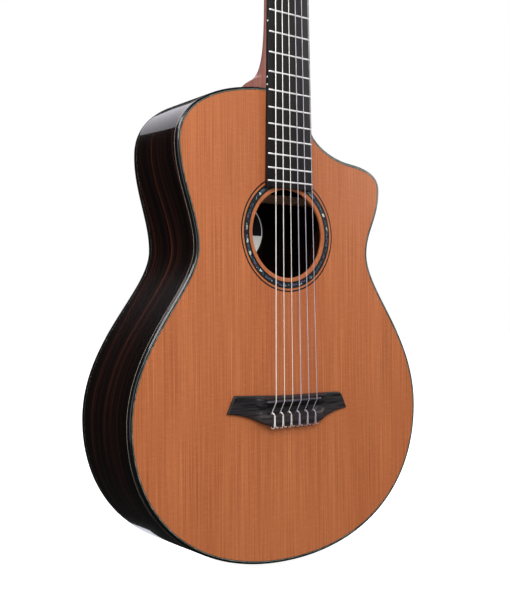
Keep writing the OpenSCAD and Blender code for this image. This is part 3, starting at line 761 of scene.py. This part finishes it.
def ring_piece(name, profile, material, stands_for):
    """A band round the whole body; profile holds (inset, y, share of the back's depth added to y)."""
    shape = Shape()
    rows = []
    for d, a, b in profile + profile[:1]:
        rows.append([(x, a + b * back_y(z), z) for x, z in (inset(OUTLINE, d) if d else OUTLINE)])
    shape.grid(rows, wrap=True)
    piece(name, shape, material, stands_for)


def strip_section(d0, d1, y0, y1, share=0):
    """A rectangle's corners, for ring_piece."""
    return [(d0, y0, share), (d1, y0, share), (d1, y1, share), (d0, y1, share)]


def binding_section(r, end, way, share):
    """A binding's corners for ring_piece, rounded by r outside; it runs from the body's face to y = end."""
    curve = [(d, way * y, share) for d, y in reversed(quarter(r, 5))]
    return [(0, end, share)] + curve + [(SIDE_T, 0, share), (SIDE_T, end, share)]


def side_piece(name, side, stands_for):
    """One bent side, from the neck's seat to the tail wedge, with its grain along the bend."""
    arc, inner = along_outline(OUTLINE), inset(OUTLINE, SIDE_T)
    order = []
    for i, (x, z) in enumerate(OUTLINE):
        if side * x > 0.02 and (abs(x) >= WEDGE_HALF or z > HOLE_Z):
            order.append(i)
    line = [(OUTLINE[i], inner[i]) for i in order]
    u = [arc[i] for i in order]
    tail = ((side * WEDGE_HALF, TAIL_Z), (side * WEDGE_HALF, TAIL_Z + SIDE_T))
    top = ((side * SEAT_GAP, SEAT_Z), (side * SEAT_GAP, SEAT_Z - SIDE_T))
    line = [tail] + line + [top] if side > 0 else [top] + line + [tail]
    u = [u[0] - math.dist(line[0][0], line[1][0])] + u + [u[-1] + math.dist(line[-1][0], line[-2][0])]
    u = [v - u[0] for v in u] if side > 0 else [u[-1] - v for v in u]
    steps = 12
    shape = Shape()
    rows, uvs = [], []
    for (o, i), s in zip(line, u):
        y0, yo, yi = BINDING_H, back_y(o[1]) - BINDING_H, back_y(i[1]) - BINDING_H
        row = [(o[0], mix(y0, yo, k / steps), o[1]) for k in range(steps + 1)]
        row += [(i[0], mix(yi, y0, k / steps), i[1]) for k in range(steps + 1)]
        rows.append(row)
        uvs += [(s * MM + 0.001, p[1] * MM) for p in row]
    shape.grid(rows, wrap=True, caps=True, uvs=uvs)
    piece(name, shape, ROSEWOOD_SIDE, stands_for)


def build_soundboard():
    rim = inset(OUTLINE, INNER_LINE_END)
    top = Shape()
    wall(top, rim, [(0, 0), (TOP_T, 0)])
    outer_groove = [(RING_OUT, 0), (RING_OUT, ROSETTE_DEEP), (RING_IN, ROSETTE_DEEP), (RING_IN, 0)]
    groove = [(LINES_OUT, 0), (LINES_OUT, ROSETTE_DEEP), (LINES_IN, ROSETTE_DEEP), (LINES_IN, 0)]
    revolve(top, outer_groove + groove)
    edge = [(HOLE_R + d, y) for d, y in quarter(0.5, 4)]
    revolve(top, [(LINES_IN, 0)] + edge + [(HOLE_R, TOP_T)])
    flat_fill(top, [rim, circle(RING_OUT)], 0)
    flat_fill(top, [rim, circle(HOLE_R)], TOP_T)
    piece("cedar_soundboard", top, CEDAR, ["soundboard"])


def rosette_ring(shape, r0, r1, y):
    revolve(shape, [(r0, y), (r0, ROSETTE_DEEP), (r1, ROSETTE_DEEP), (r1, y)], closed=True)


def build_rosette():
    shell = Shape()
    rosette_ring(shell, SHELL_IN, SHELL_OUT, 0.02)
    piece("rosette_ring", shell, ABALONE, ["rosette_shell"])
    lines = Shape()
    for r0, r1 in ((LINES_IN, SHELL_IN), (SHELL_OUT, LINES_OUT), (RING_IN, RING_OUT)):
        rosette_ring(lines, r0, r1, 0)
    piece("rosette_rings", lines, BLACK_LINE, ["rosette_lines"])


def build_bindings():
    """The bindings with their side lines, and the two lines inside the front one."""
    front = binding_section(1.7, FRONT_BINDING_END, 1, 0)
    front_line = strip_section(0, SIDE_T, FRONT_BINDING_END, BINDING_H)
    shell = strip_section(SIDE_T, PURFLING_END, 0, TOP_T)
    inner = strip_section(PURFLING_END, INNER_LINE_END, 0, TOP_T)
    rear = binding_section(1.0, REAR_BINDING_END, -1, 1)
    rear_line = strip_section(0, SIDE_T, -BINDING_H, REAR_BINDING_END, 1)
    for name, section, finish, slot, nodes in (
        ("front_binding", front, BINDING, "binding", ["top_binding"]),
        ("front_side_line", front_line, PALE_LINE, "purfling", []),
        ("front_purfling", shell, PURFLING, "purfling", ["top_purfling"]),
        ("front_inner_line", inner, BLACK_LINE, "purfling", []),
        ("rear_binding", rear, BINDING, "binding", ["back_binding"]),
        ("rear_side_line", rear_line, PALE_LINE, "purfling", []),
    ):
        ring_piece(name, section, finish, nodes)


def back_inside_y(z):
    return back_y(z) - BACK_T


def build_back():
    arch_step, seam_steps = 8, 64
    back = Shape()
    loop = inset(OUTLINE, SIDE_T)
    wall(back, loop, [(back_inside_y, 0), (back_y, 0)])
    flat_fill(back, [loop], back_y, arch_step)
    flat_fill(back, [loop], back_inside_y, arch_step)
    piece("rosewood_back", back, ROSEWOOD_BACK, ["back"])
    rows = []
    for k in range(seam_steps + 1):
        z = mix(SEAT_Z - SIDE_T, TAIL_Z + SIDE_T, k / seam_steps)
        rows.append([(x, back_y(z) + y, z) for x, y in SEAM])
    piece("back_seam_strip", solid(rows), BINDING)


build_soundboard()
build_rosette()
build_bindings()
side_piece("bass_side", -1, ["side_bass"])
side_piece("treble_side", 1, ["side_treble"])
build_back()

# ---- Neck, fingerboard and frets ----

# Height, half width, depth, and the powers that square the section off
STATIONS = [
    (5, 22.9, 18.4, 0.35, 0.35),
    (-2, 22.9, 18.1, 0.45, 0.45),
    (-12, None, 17.5, 0.62, 0.62),
    (-25, None, 16.9, 0.8, 0.8),
    (-45, None, 16.9, 0.95, 0.95),
    (-120, None, 17.3, 1, 1),
    (-180, None, 17.7, 1, 1),
]
HEEL_Y = 77.5
HEEL_CURVE = [(SEAT_Z + 87.5, 18), (SEAT_Z + 24, 18.5), (SEAT_Z + 15, 36), (SEAT_Z + 14.5, 78)]
HEEL_FOOT = ((-308, 78), (-309, 79.8), (-310.3, 81.5), (-312.5, 83.2), (-315, 84.5), (-318.5, 85.4))
# How far back from a fret's end, and the share of the full crown there
FRET_ENDS = [(0.0, 0.12), (0.22, 0.42), (0.6, 0.72), (1.1, 0.92), (1.7, 1.0)]
# Fret under which a side dot stands, and the dot's shift up the neck
DOTS = ((5, 0), (7, 0), (9, 0), (12, -4), (12, 4))


def neck_stations():
    out = []
    rows = [(z, board_half(z) if h is None else h, d, px, py) for z, h, d, px, py in STATIONS]
    for a, b in zip(rows, rows[1:]):
        n = max(3, int(abs(a[0] - b[0]) / 4))
        for k in range(n):
            t = k / n
            s = smooth(t, 0, 1)
            out.append(tuple(mix(a[j], b[j], t if j < 2 else s) for j in range(5)))
    for z, d in bez(HEEL_CURVE, 72):
        rise = d - 18
        out.append((z, board_half(z), d, 1 + rise / 110, 1 - rise / 300))
    for z, d in HEEL_FOOT:
        out.append((z, board_half(z), d, 1.5, 0.8))
    out.append((SEAT_Z, board_half(SEAT_Z) - 0.8, 86, 1.5, 0.8))
    return out


def build_neck():
    rows = []
    for z, half, deep, px, py in neck_stations():
        row = []
        for a in half_turns(72):
            x = half * signed_power(math.cos(a), px)
            row.append((x, min(deep * max(math.sin(a), 0) ** py, HEEL_Y), z))
        rows.append(row)
    piece("shaped_neck", solid(rows), MAHOGANY, ["neck"], sharp=40)
    softened("heel_cap", 0.5, VENEER)


def build_fingerboard():
    near, far = board_half(0), board_half(BOARD_END)
    edge = [(-near, 0), (-far, BOARD_END), (far, BOARD_END), (near, 0)]
    shape = plate([edge], -BOARD_T, 0, 0.45)
    piece("ebony_fingerboard", shape, BOARD, ["fingerboard"], sharp=50)


def build_frets():
    """Crowned wires, each sloping down over its two ends."""
    base, crown, half_wide = -BOARD_T + 0.08, 1.05, 0.88
    frets = Shape()
    for k in range(1, FRET_COUNT + 1):
        z = fret_z(k)
        half = board_half(z) - 0.25
        rows = []
        for s in (-1, 1):
            for back, tall in FRET_ENDS if s < 0 else reversed(FRET_ENDS):
                w = half_wide * (0.72 + 0.28 * tall)
                row = []
                for a in half_turns(12):
                    up = crown * tall * math.sin(a) ** 0.85
                    row.append((s * (half - back), base - up, z + w * math.cos(a)))
                rows.append(row)
        frets.grid(rows, wrap=True, caps=True)
    piece("crowned_frets", frets, FRET_METAL, ["frets"], sharp=50)


def build_dots():
    """Round markers in the fingerboard's bass edge, a little proud of it."""
    dots = Shape()
    for fret, shift in DOTS:
        z = (fret_z(fret) + fret_z(fret - 1)) / 2 + shift
        x = -board_half(z)
        rows = []
        for r, out in ((1, 2), (1, 0.0), (0.9, -0.03), (0.5, -0.05), (0.02, -0.055)):
            rows.append([(x + out, -BOARD_T / 2 + r * math.sin(a), z + r * math.cos(a)) for a in turns(24)])
        dots.grid(rows, wrap=True, caps=True)
    piece("edge_dots", dots, DOT, ["side_dots"], sharp=50)


build_neck()
build_fingerboard()
build_frets()
build_dots()
softened("nut", 0.35, BONE)

# ---- Head and tuners ----
SLOT_X = 15.5
SLOT_HALF = 7.5
SLOT_ENDS = (45.5, 142.5)
# The slopes cut at the slots' lower ends: across the head, and (v, u) corners
RAMP_X = (14, 23)
RAMP = ((-4, 16), (2.4, 39.5), (2.4, 46), (-4, 46))
FIRST_ROLLER_U = 62
ROLLER_STEP = 35
BUTTON_X = 38.95
BUTTON_UP = 8.2
BUTTON_V = 21.0
BUTTON_LEN = 13.0


def head_loops():
    half = NUT_HALF + 0.1
    edge = [(half, 0.3)]
    edge += bez([(half, 4), (half, 18), (HEAD_HALF, 20), (HEAD_HALF, 38)], 24)
    edge += bez([(HEAD_HALF, HEAD_LEN - 22), (HEAD_HALF, HEAD_LEN - 6), (18, HEAD_LEN), (0, HEAD_LEN)], 32)
    outer = edge + [(0, HEAD_LEN)] + [(-x, u) for x, u in reversed(edge)]
    slots = []
    for s in (-1, 1):
        loop = []
        for centre, start in zip(SLOT_ENDS, (math.pi, 0.0)):
            for k in range(25):
                a = start + math.pi * k / 24
                loop.append((s * SLOT_X + SLOT_HALF * math.cos(a), centre + SLOT_HALF * math.sin(a)))
        slots.append(loop[::-1])
    return outer, slots


def cut_string_ramps(obj):
    """Slopes at the slots' lower ends, so that the outer strings pass into them freely."""
    ramps = Shape()
    for side in (-1, 1):
        ends = [[(side * x, v, u) for v, u in RAMP] for x in RAMP_X]
        ramps.grid(ends, wrap=True, caps=True)
    ramps.place(head)
    cutter = as_object("ramps", ramps)
    settle(cutter, 30)
    mod = obj.modifiers.new("ramps", "BOOLEAN")
    mod.operation = "DIFFERENCE"
    mod.solver = "EXACT"
    mod.object = cutter
    cut = bpy.data.meshes.new_from_object(obj.evaluated_get(bpy.context.evaluated_depsgraph_get()))
    obj.modifiers.clear()
    obj.data = cut
    bpy.data.objects.remove(cutter)
    settle(obj, 50)


def build_head():
    outer, slots = head_loops()
    wood = plate([outer] + slots, 0, HEAD_T, 0.8).place(head)
    cut_string_ramps(piece("slotted_head", wood, MAHOGANY_HEAD, ["headstock"], sharp=50))
    face = plate([outer] + slots, -VENEER_T, 0, 0.5).place(head)
    cut_string_ramps(piece("head_face", face, VENEER, ["head_veneer"], sharp=50))
    softened("tuner_plates", 0.25, BRASS)
    softened("tuner_screws", 0.15, BRASS)
    for s in TUNERS:
        softened(f"roller_{s}", 0.3, BONE)
        softened(f"gear_{s}", 0.12, BRASS, segments=1)
        softened(f"worm_{s}", 0.08, BRASS, segments=1)


def side_of(s):
    return 1 if s <= 3 else -1


def roller_u(s):
    return FIRST_ROLLER_U + ROLLER_STEP * (s - 1 if s <= 3 else 6 - s)


def button_halves(t):
    """Half thickness across the head and half width along it, at the share t of a button's length."""
    thick = 2.4 + 1.05 * smooth(t, 0.1, 0.6)
    thin_end = math.sqrt(max(1 - max(0, (t - 0.72) / 0.28) ** 2.2, 0))
    wide = 2.5 + 4.9 * smooth(t, 0.02, 0.42) if t < 0.5 else 7.4
    round_end = math.sqrt(max(1 - max(0, (t - 0.52) / 0.48) ** 2.4, 0))
    return thick * thin_end + 0.02, wide * round_end + 0.02


def build_buttons():
    """Pearl-shaped tuner buttons: an oval paddle on a round neck, thickest along its middle."""
    steps, power = 28, 0.8
    for s in TUNERS:
        axis_x, axis_u = side_of(s) * BUTTON_X, roller_u(s) + BUTTON_UP
        rows = []
        for k in range(steps + 1):
            half_x, half_u = button_halves(k / steps)
            v = BUTTON_V + BUTTON_LEN * k / steps
            row = []
            for a in turns(36):
                x = axis_x + half_x * signed_power(math.cos(a), power)
                row.append((x, v, axis_u + half_u * signed_power(math.sin(a), power)))
            rows.append(row)
        nodes, body = [f"button_{s}"], f"button_{s}"
        piece(f"tuner_button_{s}", solid(rows).place(head), BUTTON, nodes, body, sharp=50)


build_head()
build_buttons()

# ---- Bridge ----


def edge_at(points, x):
    """Height of an edge curve at x; points run from one end to the other."""
    pts = sorted(points)
    for (x0, z0), (x1, z1) in zip(pts, pts[1:]):
        if x0 <= x <= x1:
            return mix(z0, z1, (x - x0) / max(x1 - x0, 1e-6))
    return pts[-1][1] if x > pts[-1][0] else pts[0][1]


# The bridge's outline as heights over the saddle; the bass wing stands a little higher
BASS_TIP = (-81.5, -9.8)
TREBLE_TIP = (79.5, -13.2)
BRIDGE_UPPER = (
    bez([BASS_TIP, (-77, -2), (-74, 7), (-71.5, 8.4)], 24)
    + bez([(-71.5, 8.4), (-45, 7.4), (-25, 5.6), (0, 5.4)], 24)
    + bez([(0, 5.4), (40, 5.4), (68, 5.6), (69.5, 4.6)], 24)
    + bez([(69.5, 4.6), (73.5, 3), (76.5, -8), TREBLE_TIP], 24)
    + [TREBLE_TIP]
)
BRIDGE_LOWER = (
    bez([BASS_TIP, (-52, -12.6), (-42, -22), (-27, -26.1)], 32)
    + [(-27, -26.1)]
    + bez([(30, -26.1), (48, -21.5), (58, -14.5), TREBLE_TIP], 32)
    + [TREBLE_TIP]
)


def bridge_height(x, d, near):
    """Height over the soundboard at x, d in front of the saddle; near is the distance to the outline."""
    a = abs(x)
    wing = 3.0 + 1.5 * smooth(a, 78, 46)
    rise = smooth(a, 50, 37)
    shoulder = 8.5 - 3.6 * smooth(d, 2.6, 5.6)
    h = mix(wing, shoulder, rise)
    scoop = smooth(d, -3.5, -4.2) * smooth(d, -13.5, -12.8) * smooth(a, 35, 31)
    dish = math.exp(-(((a - 36) / 8.5) ** 2) - ((d + 8.6) / 4.4) ** 2)
    h = mix(h, min(h, 3.2), dish * 0.95)
    h = mix(h, 3.0, scoop)
    # The tie block's top is a little lower than the saddle's
    h -= 0.15 * smooth(d, -12, -14) * rise
    r = 1.3
    if near < r:
        h = max(h - r + math.sqrt(max(r * r - (r - near) ** 2, 0)), 0.3)
    return h


def build_bridge():
    cuts = [0, 0.012, 0.03, 0.06] + [0.06 + 0.88 * k / 96 for k in range(1, 96)] + [0.94, 0.97, 0.988, 1.0]
    steps, short = 252, 0.05
    rows = []
    for k in range(steps + 1):
        x = mix(BASS_TIP[0] + short, TREBLE_TIP[0] - short, k / steps)
        lo, hi = edge_at(BRIDGE_LOWER, x), edge_at(BRIDGE_UPPER, x)
        row = [(x, 0, SADDLE_Z + lo)]
        for t in cuts:
            d = mix(lo, hi, t)
            near = min(d - lo, hi - d)
            row.append((x, -bridge_height(x, d, near), SADDLE_Z + d))
        row.append((x, 0, SADDLE_Z + hi))
        rows.append(row)
    piece("carved_bridge", solid(rows), BRIDGE, ["bridge"], sharp=60)


def build_saddle():
    """A thin bar, rounded along its top and lower towards its ends."""
    steps = 60
    foot, tall, thick, z = -5.2, 12.5, 1.35, SADDLE_Z + 0.2
    rows = []
    for k in range(steps + 1):
        x = -SADDLE_HALF + 2 * SADDLE_HALF * k / steps
        end = min(SADDLE_HALF - abs(x), 4.0) / 4.0
        arc = math.sqrt(max(1 - (1 - end) ** 2, 0))
        top = tall - 3.4 * (1 - arc)
        half = thick * (0.55 + 0.45 * arc)
        row = []
        for a in half_turns(16):
            row.append((x, -(top - half) - half * math.sin(a), z + half * math.cos(a)))
        rows.append(row + [(x, foot, z - half), (x, foot, z + half)])
    piece("rounded_saddle", solid(rows), DARK_SADDLE, ["saddle"], sharp=50)


build_bridge()
build_saddle()

# ---- Strings ----

WINDING_GAP = 0.25
NUT_STEP = 7.6
SADDLE_STEP = 11.1
NUT_Y = -6.6
SADDLE_Y = -12.5
TIE_Y = -8.55
STRING_SIDES = 12
# Through the tie block and up behind it: x and z from the string's place on the saddle, and y
TIE_HOLE = (
    (0, -4.75, -12.6),
    (0, -4.6, -14),
    (0, -4.6, -26.6),
    (0, -5, -27.4),
    (0, -6.2, -27.9),
    (0, -7.8, -27.8),
    (0, -9, -27.2),
)


def in_head(p):
    """A point of the guitar's frame in the head's frame; head turns it back."""
    c, s = math.cos(HEAD_TILT), math.sin(HEAD_TILT)
    z = p[2] - NUT_T
    return (p[0], p[1] * c - z * s, p[1] * s + z * c)


def touch(n, centre, r):
    """Where a line from n first touches the circle, all as (u, v)."""
    w = (centre[0] - n[0], centre[1] - n[1])
    d = math.hypot(*w)
    g = math.atan2(w[1], w[0]) - math.asin(r / d)
    k = math.sqrt(d * d - r * r)
    return (n[0] + k * math.cos(g), n[1] + k * math.sin(g))


def tie_loop(y):
    """Over the tie block, once round the standing string, and back to the rear edge, where the end lies
    sideways; y is the string's height over the block."""
    over = [(0.1, y - 0.2, -26.2), (0.5, y - 0.1, -20), (0.7, y, -14.6), (0.9, y + 0.5, -12.9)]
    under = [(0.8, -7.2, -11.7), (-0.4, -6.6, -11.3), (-1.0, -7.6, -11.8), (-0.3, y + 0.1, -12.7)]
    back = [(1.1, y - 0.6, -14.2), (1.3, y - 0.5, -19), (1.2, y - 0.6, -24.6)]
    end = [(2.2, y - 0.5, -26.5), (4.4, y + 0.7, -27.1), (6.2, y + 1.1, -26.9)]
    return over + under + back + end


def head_run(s, r, nut_point):
    """The straight run from the nut to the roller, ending where the winding's turning envelope begins.
    Gives its ring at the roller, its ring at the nut, its length, and (u, v) where it would touch."""
    wind_r = ROLLER_R + r + WINDING_GAP
    h = in_head(nut_point)
    u, v = touch((h[2], h[1]), (roller_u(s), ROLLER_V), wind_r)
    touch_point = Vector((side_of(s) * WINDING_X[s - 1], v, u))
    run = touch_point - Vector(h)
    way = run.normalized()
    limit = wind_r + r + 0.12
    axis = Vector((0, ROLLER_V, roller_u(s)))
    n = (Vector((1, 0, 0)) - way * way.x).normalized()
    b = way.cross(n)
    flat = Vector((0, way.y, way.z))
    at_roller = []
    for p in ring_at(touch_point, n, b, r, STRING_SIDES):
        q = p - axis
        q.x = 0
        along = q.dot(flat) / flat.length_squared
        square = q - flat * along
        reach = math.sqrt(max(limit**2 - square.length_squared, 0)) / flat.length
        at_roller.append(Vector(head(p - way * (max(reach, 0.25) + along))))
    at_nut = [Vector(head(p)) for p in ring_at(Vector(h), n, b, r, STRING_SIDES)]
    return at_roller, at_nut, run.length, (u, v)


def build_string(s, r, finish):
    """One string from its roller to its tie; gives (u, v) where it meets the winding."""
    x_nut, x_sad = (3.5 - s) * NUT_STEP, (3.5 - s) * SADDLE_STEP
    nut_point = (x_nut, NUT_Y - r, NUT_T)
    at_roller, at_nut, length, meets = head_run(s, r, nut_point)
    path = [nut_point, (x_nut, NUT_Y - r, 0), (x_sad, SADDLE_Y - r, SADDLE_Z)]
    path += [(x_sad + x, y, SADDLE_Z + z) for x, y, z in TIE_HOLE]
    path = rounded(path, 1.2, 4)
    tie = [(x_sad + x, y, SADDLE_Z + z) for x, y, z in tie_loop(TIE_Y - r)]
    path += rounded([path[-1]] + tie, 2.2, 5)[1:]
    frames = frames_along(path)
    rows, lengths = [at_roller, at_nut], [1.0, length]
    for k, (p, n, b) in enumerate(frames[1:], 1):
        length += (p - frames[k - 1][0]).length
        thin = r if k < len(frames) - 2 else r * 0.9
        rows.append(ring_at(p, n, -b, thin, STRING_SIDES))
        lengths.append(length)
    uvs = [(along * MM, i / STRING_SIDES) for along in lengths for i in range(STRING_SIDES)]
    shape = Shape()
    shape.grid(rows, wrap=True, caps=True, uvs=uvs)
    piece(f"string_{s}", shape, finish, ["strings"] if s == 1 else [], sharp=60)
    return meets


def build_winding(s, r, finish, meets):
    """The string's turns on its roller, starting where the straight run meets them."""
    wind_r = ROLLER_R + r + WINDING_GAP
    start = math.atan2(meets[0] - roller_u(s), ROLLER_V - meets[1])
    start_x = side_of(s) * WINDING_X[s - 1]
    step = side_of(s) * WINDING_WAY[s - 1] * (STRING_D[s - 1] + 0.06)
    turns, fine = 4, 36
    coil = []
    for k in range(turns * fine + 1):
        a = start + TAU * k / fine
        v, u = ROLLER_V - wind_r * math.cos(a), roller_u(s) + wind_r * math.sin(a)
        coil.append((start_x + step * k / fine, v, u))
    nodes, body = [f"winding_{s}"], f"roller_{s}"
    piece(f"string_winding_{s}", tube(coil, r).place(head), finish, nodes, body, sharp=60)


for s in TUNERS:
    radius = STRING_D[s - 1] / 2
    finish = STEEL_STRING if s > 3 else NYLON
    build_winding(s, radius, finish, build_string(s, radius, finish))

# ---- CAD pieces that keep their own shape ----


def dress(node, material):
    me = NODES[node].data
    me.materials.clear()
    me.materials.append(material)


for node, material in (
    ("top_braces", BRACE),
    ("back_braces", BRACE),
    ("linings", BLOCK),
    ("bridge_plate", BRACE),
    ("neck_block", BLOCK),
    ("tail_block", BLOCK),
    ("label", LABEL),
    ("tail_wedge", BINDING),
):
    dress(node, material)

# ---- Camera, light and floor ----


def build_camera():
    data = bpy.data.cameras.new("camera")
    cam = bpy.data.objects.new("camera", data)
    bpy.context.scene.collection.objects.link(cam)
    data.lens = 53.31
    data.sensor_width = 36
    yaw, pitch, roll = -0.6418, -0.0166, -0.0064
    f = Vector((-math.sin(yaw) * math.cos(pitch), math.cos(yaw) * math.cos(pitch), -math.sin(pitch)))
    right = Vector((math.cos(yaw), math.sin(yaw), 0))
    up = right.cross(f)
    c, s = math.cos(roll), math.sin(roll)
    right, up = c * right + s * up, c * up - s * right
    m = Matrix((right, up, -f)).transposed().to_4x4()
    m.translation = Vector((-0.5943, -0.7356, -0.5604))
    cam.matrix_world = m
    bpy.context.scene.camera = cam


def soft_light(name, at, look, size, power, tint=(1, 1, 1)):
    data = bpy.data.lights.new(name, "AREA")
    data.shape = "RECTANGLE"
    data.size, data.size_y = size
    data.energy = power
    data.color = tint
    lamp = bpy.data.objects.new(name, data)
    lamp.location = at
    lamp.rotation_mode = "QUATERNION"
    lamp.rotation_quaternion = (Vector(look) - Vector(at)).to_track_quat("-Z", "Y")
    lamp.visible_camera = False
    bpy.context.scene.collection.objects.link(lamp)


def build_studio():
    scene = bpy.context.scene
    scene.view_settings.view_transform = "Standard"
    world = bpy.data.worlds.new("studio")
    scene.world = world
    world.use_nodes = True
    nodes, links = world.node_tree.nodes, world.node_tree.links
    back = nodes["Background"]
    back.inputs["Color"].default_value = (1, 1, 1, 1)
    rays = nodes.new("ShaderNodeLightPath")
    # White where it is seen, softer as light, and dark in the gloss
    seen = nodes.new("ShaderNodeMapRange")
    links.new(rays.outputs["Is Camera Ray"], seen.inputs["Value"])
    seen.inputs["To Min"].default_value = 0.4
    seen.inputs["To Max"].default_value = 1.0
    gloss = nodes.new("ShaderNodeMath")
    gloss.operation = "MULTIPLY_ADD"
    links.new(rays.outputs["Is Glossy Ray"], gloss.inputs[0])
    gloss.inputs[1].default_value = -0.385
    links.new(seen.outputs[0], gloss.inputs[2])
    links.new(gloss.outputs[0], back.inputs["Strength"])

    soft_light("key", (-0.5, -1.4, 0.35), (0, 0, -0.45), (0.9, 0.9), 22, (1.0, 0.985, 0.96))
    soft_light("fill", (1.9, -1.1, 0.35), (0, 0, -0.4), (1.2, 1.2), 14, (1.0, 0.98, 0.96))
    soft_light("edge", (-2.0, -1.1, -0.35), (0, 0, -0.5), (1.5, 1.7), 12)
    soft_light("rim", (-0.1, 1.7, 1.24), (-0.1, 0.05, -0.38), (1.7, 1.3), 8, (0.95, 0.92, 1.0))
    soft_light("neck_side", (-1.0, 0.0, 0.45), (0, 0.04, -0.28), (0.5, 0.5), 12, (1.0, 0.95, 1.0))
    low = TAIL_Z * MM - 0.008
    soft_light("bounce", (0.36, 0.555, low), (0.36, 0.555, 1.0), (0.92, 0.8), 2.4, (0.9, 0.93, 1.0))

    mesh = bpy.data.meshes.new("floor")
    z = TAIL_Z * MM - 0.012
    r = 9.0
    mesh.from_pydata([(-r, -r, z), (r, -r, z), (r, r, z), (-r, r, z)], [], [(0, 1, 2, 3)])
    floor = bpy.data.objects.new("floor", mesh)
    scene.collection.objects.link(floor)
    f = Finish("pale_floor", Roughness=0.9)
    f.shader.inputs["Emission Color"].default_value = (1, 1, 1, 1)
    f.shader.inputs["Emission Strength"].default_value = 0.95
    cloud = f.noise(f.place, 3.0, 2.0)
    f.set(Base_Color=f.ramp(cloud, (0.3, 238, 238, 238), (0.7, 244, 244, 244)))
    mesh.materials.append(f.mat)
    floor.visible_glossy = False
    floor.visible_diffuse = False


build_camera()
build_studio()
